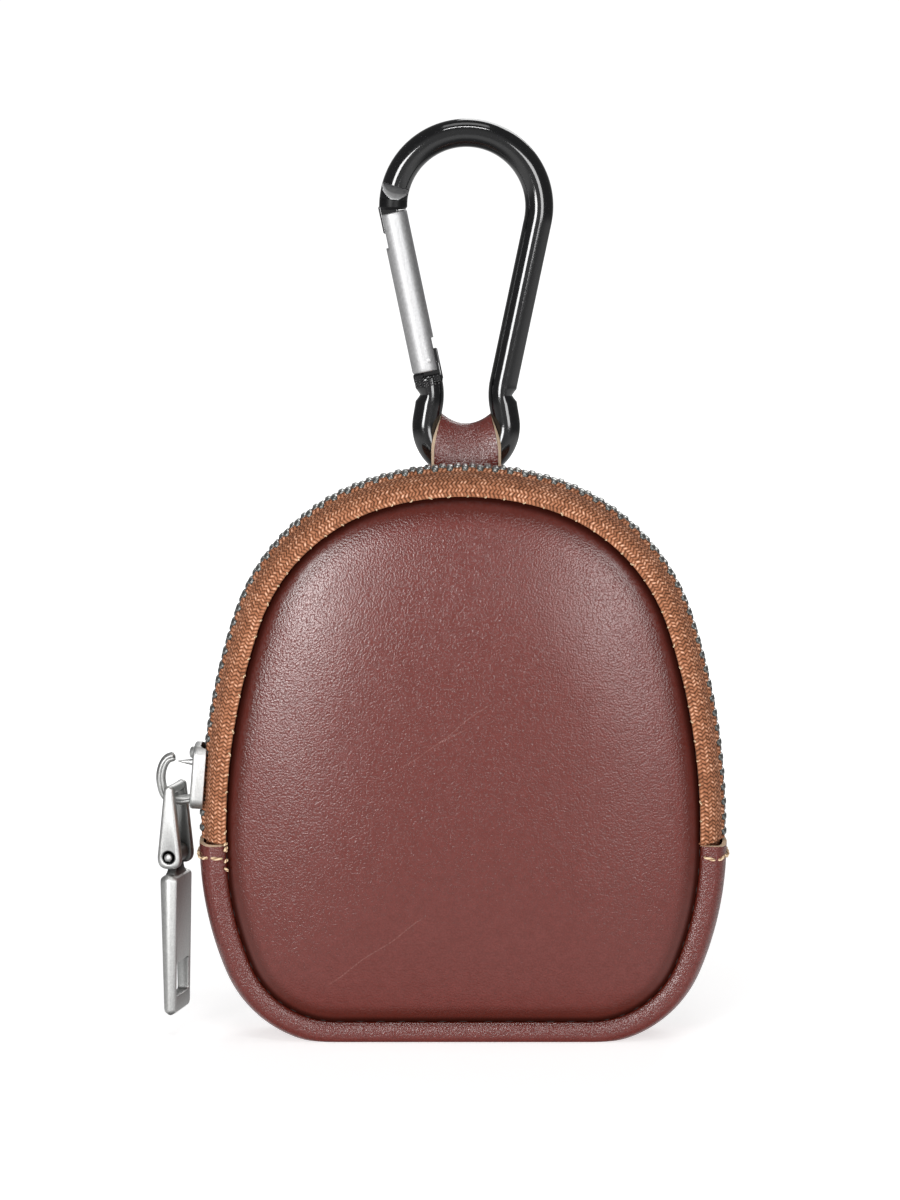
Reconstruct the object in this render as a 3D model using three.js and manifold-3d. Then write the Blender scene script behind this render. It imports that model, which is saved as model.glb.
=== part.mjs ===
// A small zipped leather pouch that hangs from a snap hook. Two padded panels face front and back, a
// leather gusset runs round the base, a metal zip runs round the top, and a strap caught in the back
// seam holds the hook. Millimetres, +Z up, +X to the right of the front panel, +Y towards the back.
// The origin is the middle of the flat base that the pouch stands on.
import * as THREE from "three";
import { mergeVertices } from "three/addons/utils/BufferGeometryUtils.js";
import Module from "manifold-3d";

const wasm = await Module();
wasm.setup();

// Driving dimensions
const GAP = 0.3; // clearance between neighbouring pieces

// The pouch from the front: tangent arcs from the middle of the top down to the straight base.
const OUTLINE_ARCS = [
  { part: "crown", radius: 49.4, turn: 16.3 },
  { part: "shoulder", radius: 34.1, turn: 55.1 },
  { part: "side", radius: 108.8, turn: 21.2 },
  { part: "flank", radius: 53.8, turn: 19.9 },
  { part: "corner", radius: 19.5, turn: 67.5 },
];
const BASE_HALF = 20.1; // half the straight stretch of the base
const BASE_FLATTENED = 1.2; // how much of the gusset's arch the floor presses flat

// The band between the two panel seams: zip round the top, gusset round the base.
const SEAM_INSET = 4.6; // from the outline in to the seams
const SEAM_DEPTH = 7.6; // from the middle plane out to each seam
const BAND_ROUNDNESS = 2.5; // exponent of the band's arched section, 2 for an ellipse
const ZIP_END_HEIGHT = 32; // where the zip tapes meet the gusset's cut ends

const PANEL_WALL = 1.8;
// The panel's padded face, from the edge turned into the seam to the middle: inset from the panel's
// edge, how much of that ring's size is kept, and the rise in front of the seam.
const PANEL_FACE = [
  { inset: 0.0, keep: 1.0, rise: -1.0 },
  { inset: 0.2, keep: 1.0, rise: -0.5 },
  { inset: 1.4, keep: 1.0, rise: 0.2 },
  { inset: 3.4, keep: 1.0, rise: 0.5 },
  { inset: 3.4, keep: 0.9, rise: 1.4 },
  { inset: 3.4, keep: 0.75, rise: 2.3 },
  { inset: 3.4, keep: 0.5, rise: 3.0 },
];
const PANEL_RISE = 3.2;
const PANEL_CENTRE_HEIGHT = 42;
const PANEL_STATIONS = 48;

const GUSSET_WALL = 1.5;
const GUSSET_STATIONS = 36;

const TAPE_WALL = 1.0;
const TAPE_INSET = 0.9; // the tape's crest lies this far inside the outline
const TAPE_STATIONS = 44;

// The closed zip: a row of teeth on each tape, each row on its own corded edge.
const TOOTH_PITCH = 2.42;
const TOOTH_WIDTH = 0.85;
const TEETH = { outer: 0.05, inner: 2.3, root: 2.9, cord: 1.2, reach: 0.9 };

// The zip's slider, seen in its own frame: out from the pouch, along the zip.
const SLIDER_HEIGHT = 42.2;
const SLIDER = { length: 10.2, wide: 8.4, narrow: 7.6, corner: 1.8 };
const SLIDER_PLATE = { from: 0.3, to: 1.45 };
const SLIDER_FLANGE = { from: -0.75, inside: 3.35 };
const SLIDER_BACK = { from: -3.6, to: -2.65, shrink: 0.78 };
const SLIDER_POST = { halfWidth: 0.8, from: -4.6, to: -2.8 };
// The crown's wire, from its root in the plate round to its open end.
const CROWN_ROUTE = [
  { out: 1.2, along: -3.9 },
  { out: 3.2, along: -4.25 },
  { out: 5.4, along: -3.75 },
  { out: 6.35, along: -1.4 },
  { out: 6.3, along: 0.7 },
  { out: 5.6, along: 2.2 },
  { out: 4.3, along: 2.8 },
];
const CROWN_WIRE = { high: 1.4, wide: 2.0 };
const CROWN_SPIKE = { along: 2.0, length: 2.6, radius: 0.6 };

// The zip pull: a stirrup on the crown, a pin through its feet and a flat tab on the pin.
const PULL_SEAT = { out: 4.0, along: -2.35 }; // the stirrup's crossbar, in the slider's frame
const PULL_TWIST = THREE.MathUtils.degToRad(-14); // the pull hangs turned about the vertical
const LINK = { width: 8.0, leg: 1.5, bar: 0.75, top: 0.8, foot: 1.95, drop: 10.7 };
const PIN = { radius: 0.7, head: 1.05, headHeight: 0.35 };
const TAB = { width: 9.0, top: -2.9, bottom: -25.8, corner: 1.0, knuckle: 1.5, neck: 4.3, neckThick: 1.8 };
const TAB_THICK = { top: 2.8, bottom: 1.8 };
const TAB_WINDOW = { width: 6.2, top: -17.4, bottom: -22.8, corner: 0.4 };

// The snap hook: a bar bent into a big loop, a waist and a small eye, with a sprung gate.
const BAR = 4.5;
const BAR_SIDES = 10;
const EYE_RADIUS = 6.45; // to the middle of the bar
const TOP_RADIUS = 11.7;
const WAIST_HALF = 5.65;
const WAIST_UP = 5.3; // from the eye's centre up to the waist
const TOP_UP = 35.3; // from the eye's centre up to the top loop's centre
const WAIST_BEND = 1.6; // length of bar taken by the waist's bend, each way
const HOOK_DEPTH = 10.9; // the hook's plane, behind the middle of the pouch
const HOOK_ASIDE = 0.5; // the strap and hook sit a little to the right of the middle
const EYE_LOW = 90.9; // height of the middle of the bar at the bottom of the eye
// The gate and the two tongues it closes on, measured up the gate's side from the waist.
const GATE = { from: 3.6, to: 29.7, sides: 14, slot: 2.6, noseSlot: 24.2, wall: 0.95, noseGap: 0.75 };
const GATE_PIVOT = { up: 5.4, inward: 0.6 };
const TONGUE = { thick: 2.0, hingeFrom: 2.9, noseFrom: 26.5, noseTo: 31.6, lip: 2.5, lipUp: 1.6, knuckle: 1.0 };
const GATE_PIN = { radius: 0.6, length: 4.2 };

// The strap round the eye: two layers that meet in the back seam.
const STRAP = { wall: 1.2, half: 5.2, foldHalf: 3.4 }; // half widths beside the bar and in the eye
const STRAP_FOLD = { middle: 97.0, edge: 98.0 }; // heights of the fold, which sags in the middle
const STRAP_TAIL = { front: 8.0, back: 10.4, low: 87.95, half: 5.75 };
const STRAP_ARC = { from: 205, to: -25, steps: 11 };
const STRAP_STATIONS = 6;

// Finishes
const leather = { color: 0x6b3a38, roughness: 0.42, metalness: 0 };
const tapeCloth = { color: 0xa06c4e, roughness: 0.9, metalness: 0 };
const toothMetal = { color: 0x4a4a4c, roughness: 0.35, metalness: 1 };
const pullMetal = { color: 0xa9a9a6, roughness: 0.3, metalness: 1 };
const blackAnodised = { color: 0x151517, roughness: 0.25, metalness: 0.6 };
const gateMetal = { color: 0xc8c8ca, roughness: 0.3, metalness: 1 };

// Geometry helpers

const radians = THREE.MathUtils.degToRad;

function meshOf(name, geometry, finish) {
  const mesh = new THREE.Mesh(geometry, new THREE.MeshStandardMaterial(finish));
  mesh.name = name;
  return mesh;
}

// Turns every face round if the surface encloses a negative volume.
function facingOut(geometry) {
  const { position } = geometry.attributes;
  const index = geometry.index.array;
  const corner = (k) => new THREE.Vector3().fromBufferAttribute(position, index[k]);
  let volume = 0;
  for (let k = 0; k < index.length; k += 3) {
    volume += corner(k).dot(corner(k + 1).cross(corner(k + 2))) / 6;
  }
  if (volume < 0) geometry.setIndex(Array.from(index).reverse());
  return geometry;
}

// A closed surface over rings of equal length, each ring a loop of points. The two ends are closed
// by fans to a pair of poles, by the triangles of a cap, or by joining the last ring to the first.
function loft(rings, { poles, cap, joined = false }) {
  const size = rings[0].length;
  const points = rings.flat();
  const faces = [];
  const spans = joined ? rings.length : rings.length - 1;
  for (let r = 0; r < spans; r += 1) {
    const here = r * size;
    const next = ((r + 1) % rings.length) * size;
    for (let k = 0; k < size; k += 1) {
      const along = (k + 1) % size;
      faces.push([here + k, here + along, next + along], [here + k, next + along, next + k]);
    }
  }
  const last = (rings.length - 1) * size;
  if (poles) {
    points.push(...poles);
    for (let k = 0; k < size; k += 1) {
      const along = (k + 1) % size;
      faces.push([points.length - 2, along, k], [points.length - 1, last + k, last + along]);
    }
  }
  for (const [a, b, c] of cap ?? []) {
    faces.push([a, b, c], [last + c, last + b, last + a]);
  }
  const geometry = new THREE.BufferGeometry().setFromPoints(points);
  geometry.setIndex(faces.flat());
  return facingOut(geometry);
}

function solidOf(geometry) {
  const bare = geometry.clone();
  bare.deleteAttribute("normal");
  bare.deleteAttribute("uv");
  const merged = mergeVertices(bare, 1e-4);
  const mesh = new wasm.Mesh({
    numProp: 3,
    vertProperties: new Float32Array(merged.attributes.position.array),
    triVerts: new Uint32Array(merged.index.array),
  });
  return new wasm.Manifold(mesh);
}

function geometryOf(solid) {
  const mesh = solid.getMesh();
  const geometry = new THREE.BufferGeometry();
  geometry.setAttribute("position", new THREE.BufferAttribute(mesh.vertProperties, 3));
  geometry.setIndex(new THREE.BufferAttribute(mesh.triVerts, 1));
  return geometry;
}

function boxBetween(low, high) {
  const size = high.map((value, axis) => value - low[axis]);
  const box = new THREE.BoxGeometry(...size);
  box.translate(...low.map((value, axis) => value + size[axis] / 2));
  return solidOf(box);
}

// A round bar along Y, centred on (x, z).
function barAlongY(radius, length, x, z, sides) {
  return solidOf(new THREE.CylinderGeometry(radius, radius, length, sides).translate(x, 0, z));
}

function roundedRectangle(left, right, low, high, corner) {
  const shape = new THREE.Shape();
  shape.moveTo(left + corner, low);
  shape.lineTo(right - corner, low);
  shape.absarc(right - corner, low + corner, corner, -Math.PI / 2, 0);
  shape.lineTo(right, high - corner);
  shape.absarc(right - corner, high - corner, corner, 0, Math.PI / 2);
  shape.lineTo(left + corner, high);
  shape.absarc(left + corner, high - corner, corner, Math.PI / 2, Math.PI);
  shape.lineTo(left, low + corner);
  shape.absarc(left + corner, low + corner, corner, Math.PI, 1.5 * Math.PI);
  return shape;
}

// A plate whose outline is drawn in Y and Z and whose thickness runs along X.
function plateAlongX(shape, from, to, curveSegments) {
  const plate = new THREE.ExtrudeGeometry(shape, { depth: to - from, bevelEnabled: false, curveSegments });
  const drawnUpright = new THREE.Matrix4().makeBasis(
    new THREE.Vector3(0, 1, 0),
    new THREE.Vector3(0, 0, 1),
    new THREE.Vector3(1, 0, 0),
  );
  return solidOf(plate.applyMatrix4(drawnUpright).translate(from, 0, 0));
}

// The pouch's outline

// Each arc with the travel along the outline where it starts and ends, its centre and first heading.
function chainOutline() {
  const arcs = [];
  let x = 0;
  let z = 0;
  let heading = 0;
  let travel = 0;
  for (const { radius, turn } of OUTLINE_ARCS) {
    const centreX = x - radius * Math.sin(heading);
    const centreZ = z - radius * Math.cos(heading);
    const length = radius * radians(turn);
    arcs.push({ radius, heading, centreX, centreZ, start: travel, end: travel + length });
    heading += radians(turn);
    travel += length;
    x = centreX + radius * Math.sin(heading);
    z = centreZ + radius * Math.cos(heading);
  }
  const lift = -BASE_FLATTENED - z;
  for (const arc of arcs) arc.centreZ += lift;
  return arcs;
}

const outlineArcs = chainOutline();
const baseStart = outlineArcs.at(-1).end;
const halfOutline = baseStart + BASE_HALF;
const baseX = outlineArcs.at(-1).centreX;

// A point at some travel from the middle of the top, to the right if positive, inset from the outline.
function onOutline(travel, inset) {
  const wrapped = travel > halfOutline ? travel - 2 * halfOutline : travel;
  const side = wrapped < 0 ? -1 : 1;
  const distance = Math.abs(wrapped);
  const arc = outlineArcs.find(({ end }) => distance <= end);
  if (!arc) {
    const x = baseX * (1 - (distance - baseStart) / BASE_HALF);
    return { x: side * x, z: inset - BASE_FLATTENED, outX: 0, outZ: -1 };
  }
  const heading = arc.heading + (distance - arc.start) / arc.radius;
  const reach = arc.radius - inset;
  return {
    x: side * (arc.centreX + reach * Math.sin(heading)),
    z: arc.centreZ + reach * Math.cos(heading),
    outX: side * Math.sin(heading),
    outZ: Math.cos(heading),
  };
}

// The travel down the right side at which the outline comes down to a height, by halving.
function travelAtHeight(height) {
  let above = 0;
  let below = halfOutline;
  for (let step = 0; step < 40; step += 1) {
    const middle = (above + below) / 2;
    if (onOutline(middle, 0).z > height) above = middle;
    else below = middle;
  }
  return above;
}

const zipEnd = travelAtHeight(ZIP_END_HEIGHT);
const sliderTravel = -travelAtHeight(SLIDER_HEIGHT);

// The band's arch: how far inside its crest it lies at a depth, 0 at the middle and 1 at a seam.
function archDrop(depth) {
  const share = Math.min(1, Math.abs(depth) / SEAM_DEPTH);
  return 1 - (1 - share ** BAND_ROUNDNESS) ** (1 / BAND_ROUNDNESS);
}

// A section of the band as a closed loop: its face from depth to depth, then the same face one wall
// further in, in points of inset and depth.
function archSection(crestInset, wall, depths) {
  const face = depths.toSorted((a, b) => a - b).map((depth) => {
    return new THREE.Vector2(crestInset + (SEAM_INSET - crestInset) * archDrop(depth), depth);
  });
  const back = face.map((point, k) => {
    const before = face[Math.max(0, k - 1)];
    const after = face[Math.min(face.length - 1, k + 1)];
    const atSeam = Math.abs(point.y) >= SEAM_DEPTH;
    const run = atSeam ? new THREE.Vector2(Math.sign(point.y), 0) : after.clone().sub(before).normalize();
    return point.clone().add(new THREE.Vector2(run.y, -run.x).multiplyScalar(wall));
  });
  return { loop: [...face, ...back.reverse()], faceCount: face.length };
}

// Sweeps a section of the band along the outline, pressed flat where it would pass below the floor.
function bandWall(section, wall, from, to, stations) {
  const rings = [];
  for (let k = 0; k <= stations; k += 1) {
    const travel = from + ((to - from) * k) / stations;
    rings.push(
      section.loop.map(({ x: inset, y: depth }, n) => {
        const { x, z } = onOutline(travel, inset);
        const floor = n < section.faceCount ? 0 : wall;
        return new THREE.Vector3(x, depth, Math.max(z, floor));
      }),
    );
  }
  return loft(rings, { cap: THREE.ShapeUtils.triangulateShape(section.loop, []) });
}

// Leather panels

// A dished wall: rings round the seam, out over the padded face and back along the inside.
function panelGeometry(side) {
  const ring = ({ inset, keep, rise }, behind) => {
    const points = [];
    for (let k = 0; k < PANEL_STATIONS; k += 1) {
      const travel = halfOutline * (-1 + (2 * k) / PANEL_STATIONS);
      const { x, z } = onOutline(travel, SEAM_INSET + GAP + inset);
      const height = PANEL_CENTRE_HEIGHT + (z - PANEL_CENTRE_HEIGHT) * keep;
      points.push(new THREE.Vector3(x * keep, side * (SEAM_DEPTH + rise - behind), height));
    }
    return points;
  };
  const edge = PANEL_FACE[0];
  const shoulder = PANEL_FACE[3];
  const middle = PANEL_FACE.at(-1);
  const face = PANEL_FACE.map((row) => ring(row, 0)).reverse();
  const inside = [
    ring({ ...edge, inset: PANEL_WALL }, 0),
    ring(shoulder, PANEL_WALL),
    ring(middle, PANEL_WALL),
  ];
  const pole = (behind) => {
    return new THREE.Vector3(0, side * (SEAM_DEPTH + PANEL_RISE - behind), PANEL_CENTRE_HEIGHT);
  };
  return loft([...face, ...inside], { poles: [pole(0), pole(PANEL_WALL)] });
}

// Gusset and zip

function gussetGeometry() {
  const shares = [-1, -0.97, -0.88, -0.7, -0.4, 0, 0.4, 0.7, 0.88, 0.97, 1];
  const section = archSection(0, GUSSET_WALL, shares.map((share) => share * SEAM_DEPTH));
  const from = zipEnd + GAP / 2;
  return bandWall(section, GUSSET_WALL, from, 2 * halfOutline - from, GUSSET_STATIONS);
}

// One half of the zip tape, from the panel seam to the corded edge beside the teeth.
function tapeGeometry(side) {
  const edge = TEETH.root + GAP;
  const depths = [SEAM_DEPTH, 0.97 * SEAM_DEPTH, 0.86 * SEAM_DEPTH, 0.65 * SEAM_DEPTH, edge];
  const section = archSection(TAPE_INSET, TAPE_WALL, depths.map((depth) => side * depth));
  const to = zipEnd - GAP / 2;
  return bandWall(section, TAPE_WALL, -to, to, TAPE_STATIONS);
}

// One row of the closed zip: a flat cord along the tape's edge with a tooth at every pitch that
// reaches between two teeth of the other row. Below the slider's middle the rows are parted.
function teethGeometry(side) {
  const to = zipEnd - GAP;
  const count = Math.floor((2 * to) / TOOTH_PITCH) - 1;
  const shift = side < 0 ? 0 : TOOTH_PITCH / 2;
  const points = [];
  const faces = [];
  const quad = (a, b, c, d) => faces.push([a, b, c], [a, c, d]);
  // Six points of one station: root, cord and tip on the outer face, then on the inner face.
  const station = (travel) => {
    const first = points.length;
    for (const inset of [TEETH.outer, TEETH.inner]) {
      for (const depth of [TEETH.root, TEETH.cord, -TEETH.reach]) {
        const { x, z } = onOutline(travel, inset);
        points.push(new THREE.Vector3(x, side * depth, z));
      }
    }
    return first;
  };
  const cordSpan = (a, b) => {
    quad(a, a + 1, b + 1, b);
    quad(a + 4, a + 3, b + 3, b + 4);
    quad(a + 3, a, b, b + 3);
  };
  const cordEnd = (a) => quad(a, a + 3, a + 4, a + 1);
  const cordFace = (a, b) => quad(a + 1, a + 4, b + 4, b + 1);
  const tooth = (a, b) => {
    quad(a + 1, a + 2, b + 2, b + 1);
    quad(a + 5, a + 4, b + 4, b + 5);
    quad(a + 2, a + 5, b + 5, b + 2);
    quad(a + 4, a + 5, a + 2, a + 1);
    quad(b + 1, b + 2, b + 5, b + 4);
  };
  let previous = station(-to);
  cordEnd(previous);
  for (let k = 0; k < count; k += 1) {
    const middle = -to + TOOTH_PITCH * (k + 1) + shift - TOOTH_PITCH / 4;
    const a = station(middle - TOOTH_WIDTH / 2);
    const b = station(middle + TOOTH_WIDTH / 2);
    cordSpan(previous, a);
    cordFace(previous, a);
    cordSpan(a, b);
    if (middle > sliderTravel) tooth(a, b);
    else cordFace(a, b);
    previous = b;
  }
  const end = station(to);
  cordSpan(previous, end);
  cordFace(previous, end);
  quad(end + 1, end + 4, end + 3, end);
  const row = new THREE.BufferGeometry().setFromPoints(points);
  return facingOut(row.setIndex(faces.flat()));
}

// Zip slider: two plates joined by a post at the wide end, with an open crown for the pull. Its own
// frame has X out from the pouch and Z up along the zip.
function sliderGeometry() {
  const plateShape = (scale) => {
    const shape = new THREE.Shape();
    const [low, high] = [-SLIDER.length / 2, SLIDER.length / 2];
    const [wide, narrow] = [(SLIDER.wide / 2) * scale, (SLIDER.narrow / 2) * scale];
    const { corner } = SLIDER;
    shape.moveTo(-wide + corner, low);
    shape.lineTo(wide - corner, low);
    shape.quadraticCurveTo(wide, low, wide, low + corner);
    shape.lineTo(narrow, high - corner);
    shape.quadraticCurveTo(narrow, high, narrow - corner, high);
    shape.lineTo(-narrow + corner, high);
    shape.quadraticCurveTo(-narrow, high, -narrow, high - corner);
    shape.lineTo(-wide, low + corner);
    shape.quadraticCurveTo(-wide, low, -wide + corner, low);
    return shape;
  };
  const { inside } = SLIDER_FLANGE;
  const clear = SLIDER.length;
  const channel = boxBetween([-clear, -inside, -clear], [SLIDER_PLATE.from, inside, clear]);
  const front = plateAlongX(plateShape(1), SLIDER_FLANGE.from, SLIDER_PLATE.to, 3).subtract(channel);
  const back = plateAlongX(plateShape(SLIDER_BACK.shrink), SLIDER_BACK.from, SLIDER_BACK.to, 3);
  const { halfWidth, from, to } = SLIDER_POST;
  const backMiddle = (SLIDER_BACK.from + SLIDER_BACK.to) / 2;
  const plateMiddle = (SLIDER_PLATE.from + SLIDER_PLATE.to) / 2;
  const post = boxBetween([backMiddle, -halfWidth, from], [plateMiddle, halfWidth, to]);
  const route = new THREE.CatmullRomCurve3(
    CROWN_ROUTE.map(({ out, along }) => new THREE.Vector3(out, 0, along)),
  );
  const section = new THREE.Shape();
  section.absellipse(0, 0, CROWN_WIRE.wide / 2, CROWN_WIRE.high / 2, 0, 2 * Math.PI);
  const crown = new THREE.ExtrudeGeometry(section, { steps: 14, extrudePath: route, curveSegments: 4 });
  const spike = new THREE.ConeGeometry(CROWN_SPIKE.radius, CROWN_SPIKE.length, 8);
  spike.rotateZ(-Math.PI / 2);
  spike.translate(plateMiddle + CROWN_SPIKE.length / 2, 0, CROWN_SPIKE.along);
  return geometryOf(front.add(back).add(post).add(solidOf(crown)).add(solidOf(spike)));
}

// Zip pull, in a frame whose origin is the stirrup's crossbar, Y along that bar.

function linkGeometry() {
  const foot = -LINK.drop;
  const profile = new THREE.Shape();
  profile.moveTo(-LINK.foot, foot);
  profile.absarc(0, foot, LINK.foot, Math.PI, 2 * Math.PI);
  profile.lineTo(LINK.top, 0);
  profile.absarc(0, 0, LINK.top, 0, Math.PI);
  profile.lineTo(-LINK.foot, foot);
  const leg = new THREE.ExtrudeGeometry(profile, { depth: LINK.leg, bevelEnabled: false, curveSegments: 7 });
  leg.rotateX(Math.PI / 2);
  const near = solidOf(leg.clone().translate(0, -LINK.width / 2 + LINK.leg, 0));
  const far = solidOf(leg.translate(0, LINK.width / 2, 0));
  const bar = barAlongY(LINK.bar, LINK.width - LINK.leg, 0, 0, 12);
  const hole = barAlongY(PIN.radius + GAP, 2 * LINK.width, 0, foot, 12);
  return geometryOf(near.add(far).add(bar).subtract(hole));
}

function pinGeometry() {
  const shank = barAlongY(PIN.radius, LINK.width + 0.8, 0, -LINK.drop, 12);
  const head = (side) => {
    const rim = new THREE.CylinderGeometry(PIN.head, PIN.head, PIN.headHeight, 12);
    const middle = LINK.width / 2 + GAP + PIN.headHeight / 2;
    return solidOf(rim.translate(0, side * middle, -LINK.drop));
  };
  return geometryOf(shank.add(head(-1)).add(head(1)));
}

// The tab, measured from its pin: a knuckle between the stirrup's feet, a neck and a pierced plate.
function tabGeometry() {
  const half = TAB.width / 2;
  const outline = roundedRectangle(-half, half, TAB.bottom, TAB.top, TAB.corner);
  const { width, top, bottom, corner } = TAB_WINDOW;
  outline.holes.push(roundedRectangle(-width / 2, width / 2, bottom, top, corner));
  const plate = plateAlongX(outline, -0.5, 0.5, 3).warp((point) => {
    const share = (point[2] - TAB.bottom) / (TAB.top - TAB.bottom);
    point[0] *= TAB_THICK.bottom + (TAB_THICK.top - TAB_THICK.bottom) * share;
  });
  const neckHalf = [TAB.neckThick / 2, TAB.neck / 2];
  const neck = boxBetween([-neckHalf[0], -neckHalf[1], TAB.top - TAB.corner], [...neckHalf, 0]);
  const knuckle = barAlongY(TAB.knuckle, TAB.neck, 0, 0, 14);
  const hole = barAlongY(PIN.radius + GAP, 2 * TAB.neck, 0, 0, 12);
  return geometryOf(plate.add(neck).add(knuckle).subtract(hole));
}

// Snap hook, in a frame whose origin is the eye's centre, drawn in X and Z.

// The side of the hook as a line from the waist that touches the top loop, leaning out as it rises.
const sideLine = (() => {
  const [alongX, alongZ] = [-WAIST_HALF, TOP_UP - WAIST_UP];
  const span = Math.hypot(alongX, alongZ);
  const lean = Math.asin(TOP_RADIUS / span) - Math.atan(WAIST_HALF / alongZ);
  return { lean, length: Math.sqrt(span ** 2 - TOP_RADIUS ** 2) };
})();

// A point up the side from the waist, on the right or on the left.
function upSide(distance, side) {
  const x = WAIST_HALF + distance * Math.sin(sideLine.lean);
  return new THREE.Vector3(side * x, 0, WAIST_UP + distance * Math.cos(sideLine.lean));
}

// The angle at the eye's centre, from straight right, where a line from the waist touches the eye.
const eyeTouch = (() => {
  const span = Math.hypot(WAIST_HALF, WAIST_UP);
  return Math.atan2(WAIST_UP, WAIST_HALF) - Math.acos(EYE_RADIUS / span);
})();

function arcPoint(radius, angle, centreZ) {
  return new THREE.Vector3(radius * Math.cos(angle), 0, centreZ + radius * Math.sin(angle));
}

class FlatArc extends THREE.Curve {
  constructor(radius, centreZ, from, to) {
    super();
    Object.assign(this, { radius, centreZ, from, to });
  }

  getPoint(share, target = new THREE.Vector3()) {
    return target.copy(arcPoint(this.radius, this.from + (this.to - this.from) * share, this.centreZ));
  }
}

// The bar's middle line: from the gate's hinge down through the waist, round the eye, up the other
// side and over the top loop to the gate's nose.
function barRoute() {
  const route = new THREE.CurvePath();
  const waist = (side) => new THREE.Vector3(side * WAIST_HALF, 0, WAIST_UP);
  const touch = (side) => arcPoint(EYE_RADIUS, side > 0 ? eyeTouch : Math.PI - eyeTouch, 0);
  const belowWaist = (side) => {
    return waist(side).add(touch(side).sub(waist(side)).setLength(WAIST_BEND));
  };
  const nose = sideLine.lean + (GATE.to + GATE.noseGap - sideLine.length) / TOP_RADIUS;
  route.add(new THREE.LineCurve3(upSide(TONGUE.hingeFrom, -1), upSide(WAIST_BEND, -1)));
  route.add(new THREE.QuadraticBezierCurve3(upSide(WAIST_BEND, -1), waist(-1), belowWaist(-1)));
  route.add(new THREE.LineCurve3(belowWaist(-1), touch(-1)));
  route.add(new FlatArc(EYE_RADIUS, 0, Math.PI - eyeTouch, 2 * Math.PI + eyeTouch));
  route.add(new THREE.LineCurve3(touch(1), belowWaist(1)));
  route.add(new THREE.QuadraticBezierCurve3(belowWaist(1), waist(1), upSide(WAIST_BEND, 1)));
  route.add(new THREE.LineCurve3(upSide(WAIST_BEND, 1), upSide(sideLine.length, 1)));
  route.add(new FlatArc(TOP_RADIUS, TOP_UP, -sideLine.lean, Math.PI + 2 * sideLine.lean - nose));
  return route;
}

// Turns a solid made with X across and Z up the gate's side into the hook's frame.
function onGateSide(solid) {
  const turn = new THREE.Matrix4().makeRotationY(-sideLine.lean).setPosition(upSide(0, -1));
  return solid.transform(turn.elements);
}

function frameGeometry() {
  const section = new THREE.Shape();
  for (let k = 0; k < BAR_SIDES; k += 1) {
    const angle = (2 * Math.PI * k) / BAR_SIDES;
    const [across, deep] = [(BAR / 2) * Math.cos(angle), (BAR / 2) * Math.sin(angle)];
    if (k === 0) section.moveTo(across, deep);
    else section.lineTo(across, deep);
  }
  const bar = new THREE.ExtrudeGeometry(section, { steps: 58, extrudePath: barRoute() });
  const deep = TONGUE.thick / 2;
  const { hingeFrom, knuckle, lip, lipUp, noseFrom, noseTo } = TONGUE;
  const { up, inward } = GATE_PIVOT;
  const inner = GATE.wall - BAR / 2 + GAP;
  const foot = boxBetween([inner, -deep, hingeFrom - 1], [lip, deep, up]);
  const round = barAlongY(knuckle, TONGUE.thick, inward, up, 14);
  const lipBar = boxBetween([inward + knuckle - 0.3, -deep, up - 0.5], [lip, deep, up + lipUp]);
  const pinHole = barAlongY(GATE_PIN.radius + GAP, BAR, inward, up, 12);
  const hinge = foot.add(round).add(lipBar).subtract(pinHole);
  const nose = boxBetween([-BAR / 2 + 0.1, -deep, noseFrom], [-inner, deep, noseTo]);
  return geometryOf(solidOf(bar).add(onGateSide(hinge)).add(onGateSide(nose)));
}

// The gate: a round bar slotted at both ends, open inwards over the hinge and outwards at the nose.
function gateGeometry() {
  const rod = new THREE.CylinderGeometry(BAR / 2, BAR / 2, GATE.to - GATE.from, GATE.sides);
  rod.rotateX(Math.PI / 2).translate(0, 0, (GATE.from + GATE.to) / 2);
  const deep = GATE.slot / 2;
  const wall = BAR / 2 - GATE.wall;
  const { up, inward } = GATE_PIVOT;
  const hingeSlot = boxBetween([-wall, -deep, GATE.from - 1], [BAR, deep, up + TONGUE.lipUp + 1.8]);
  const noseSlot = boxBetween([-BAR, -deep, GATE.noseSlot], [wall, deep, GATE.to + 1]);
  const pinHole = barAlongY(GATE_PIN.radius + GAP, 2 * BAR, inward, up, 12);
  const gate = solidOf(rod).subtract(hingeSlot).subtract(noseSlot).subtract(pinHole);
  return geometryOf(onGateSide(gate));
}

function gatePinGeometry() {
  const { up, inward } = GATE_PIVOT;
  return geometryOf(onGateSide(barAlongY(GATE_PIN.radius, GATE_PIN.length, inward, up, 12)));
}

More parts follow.
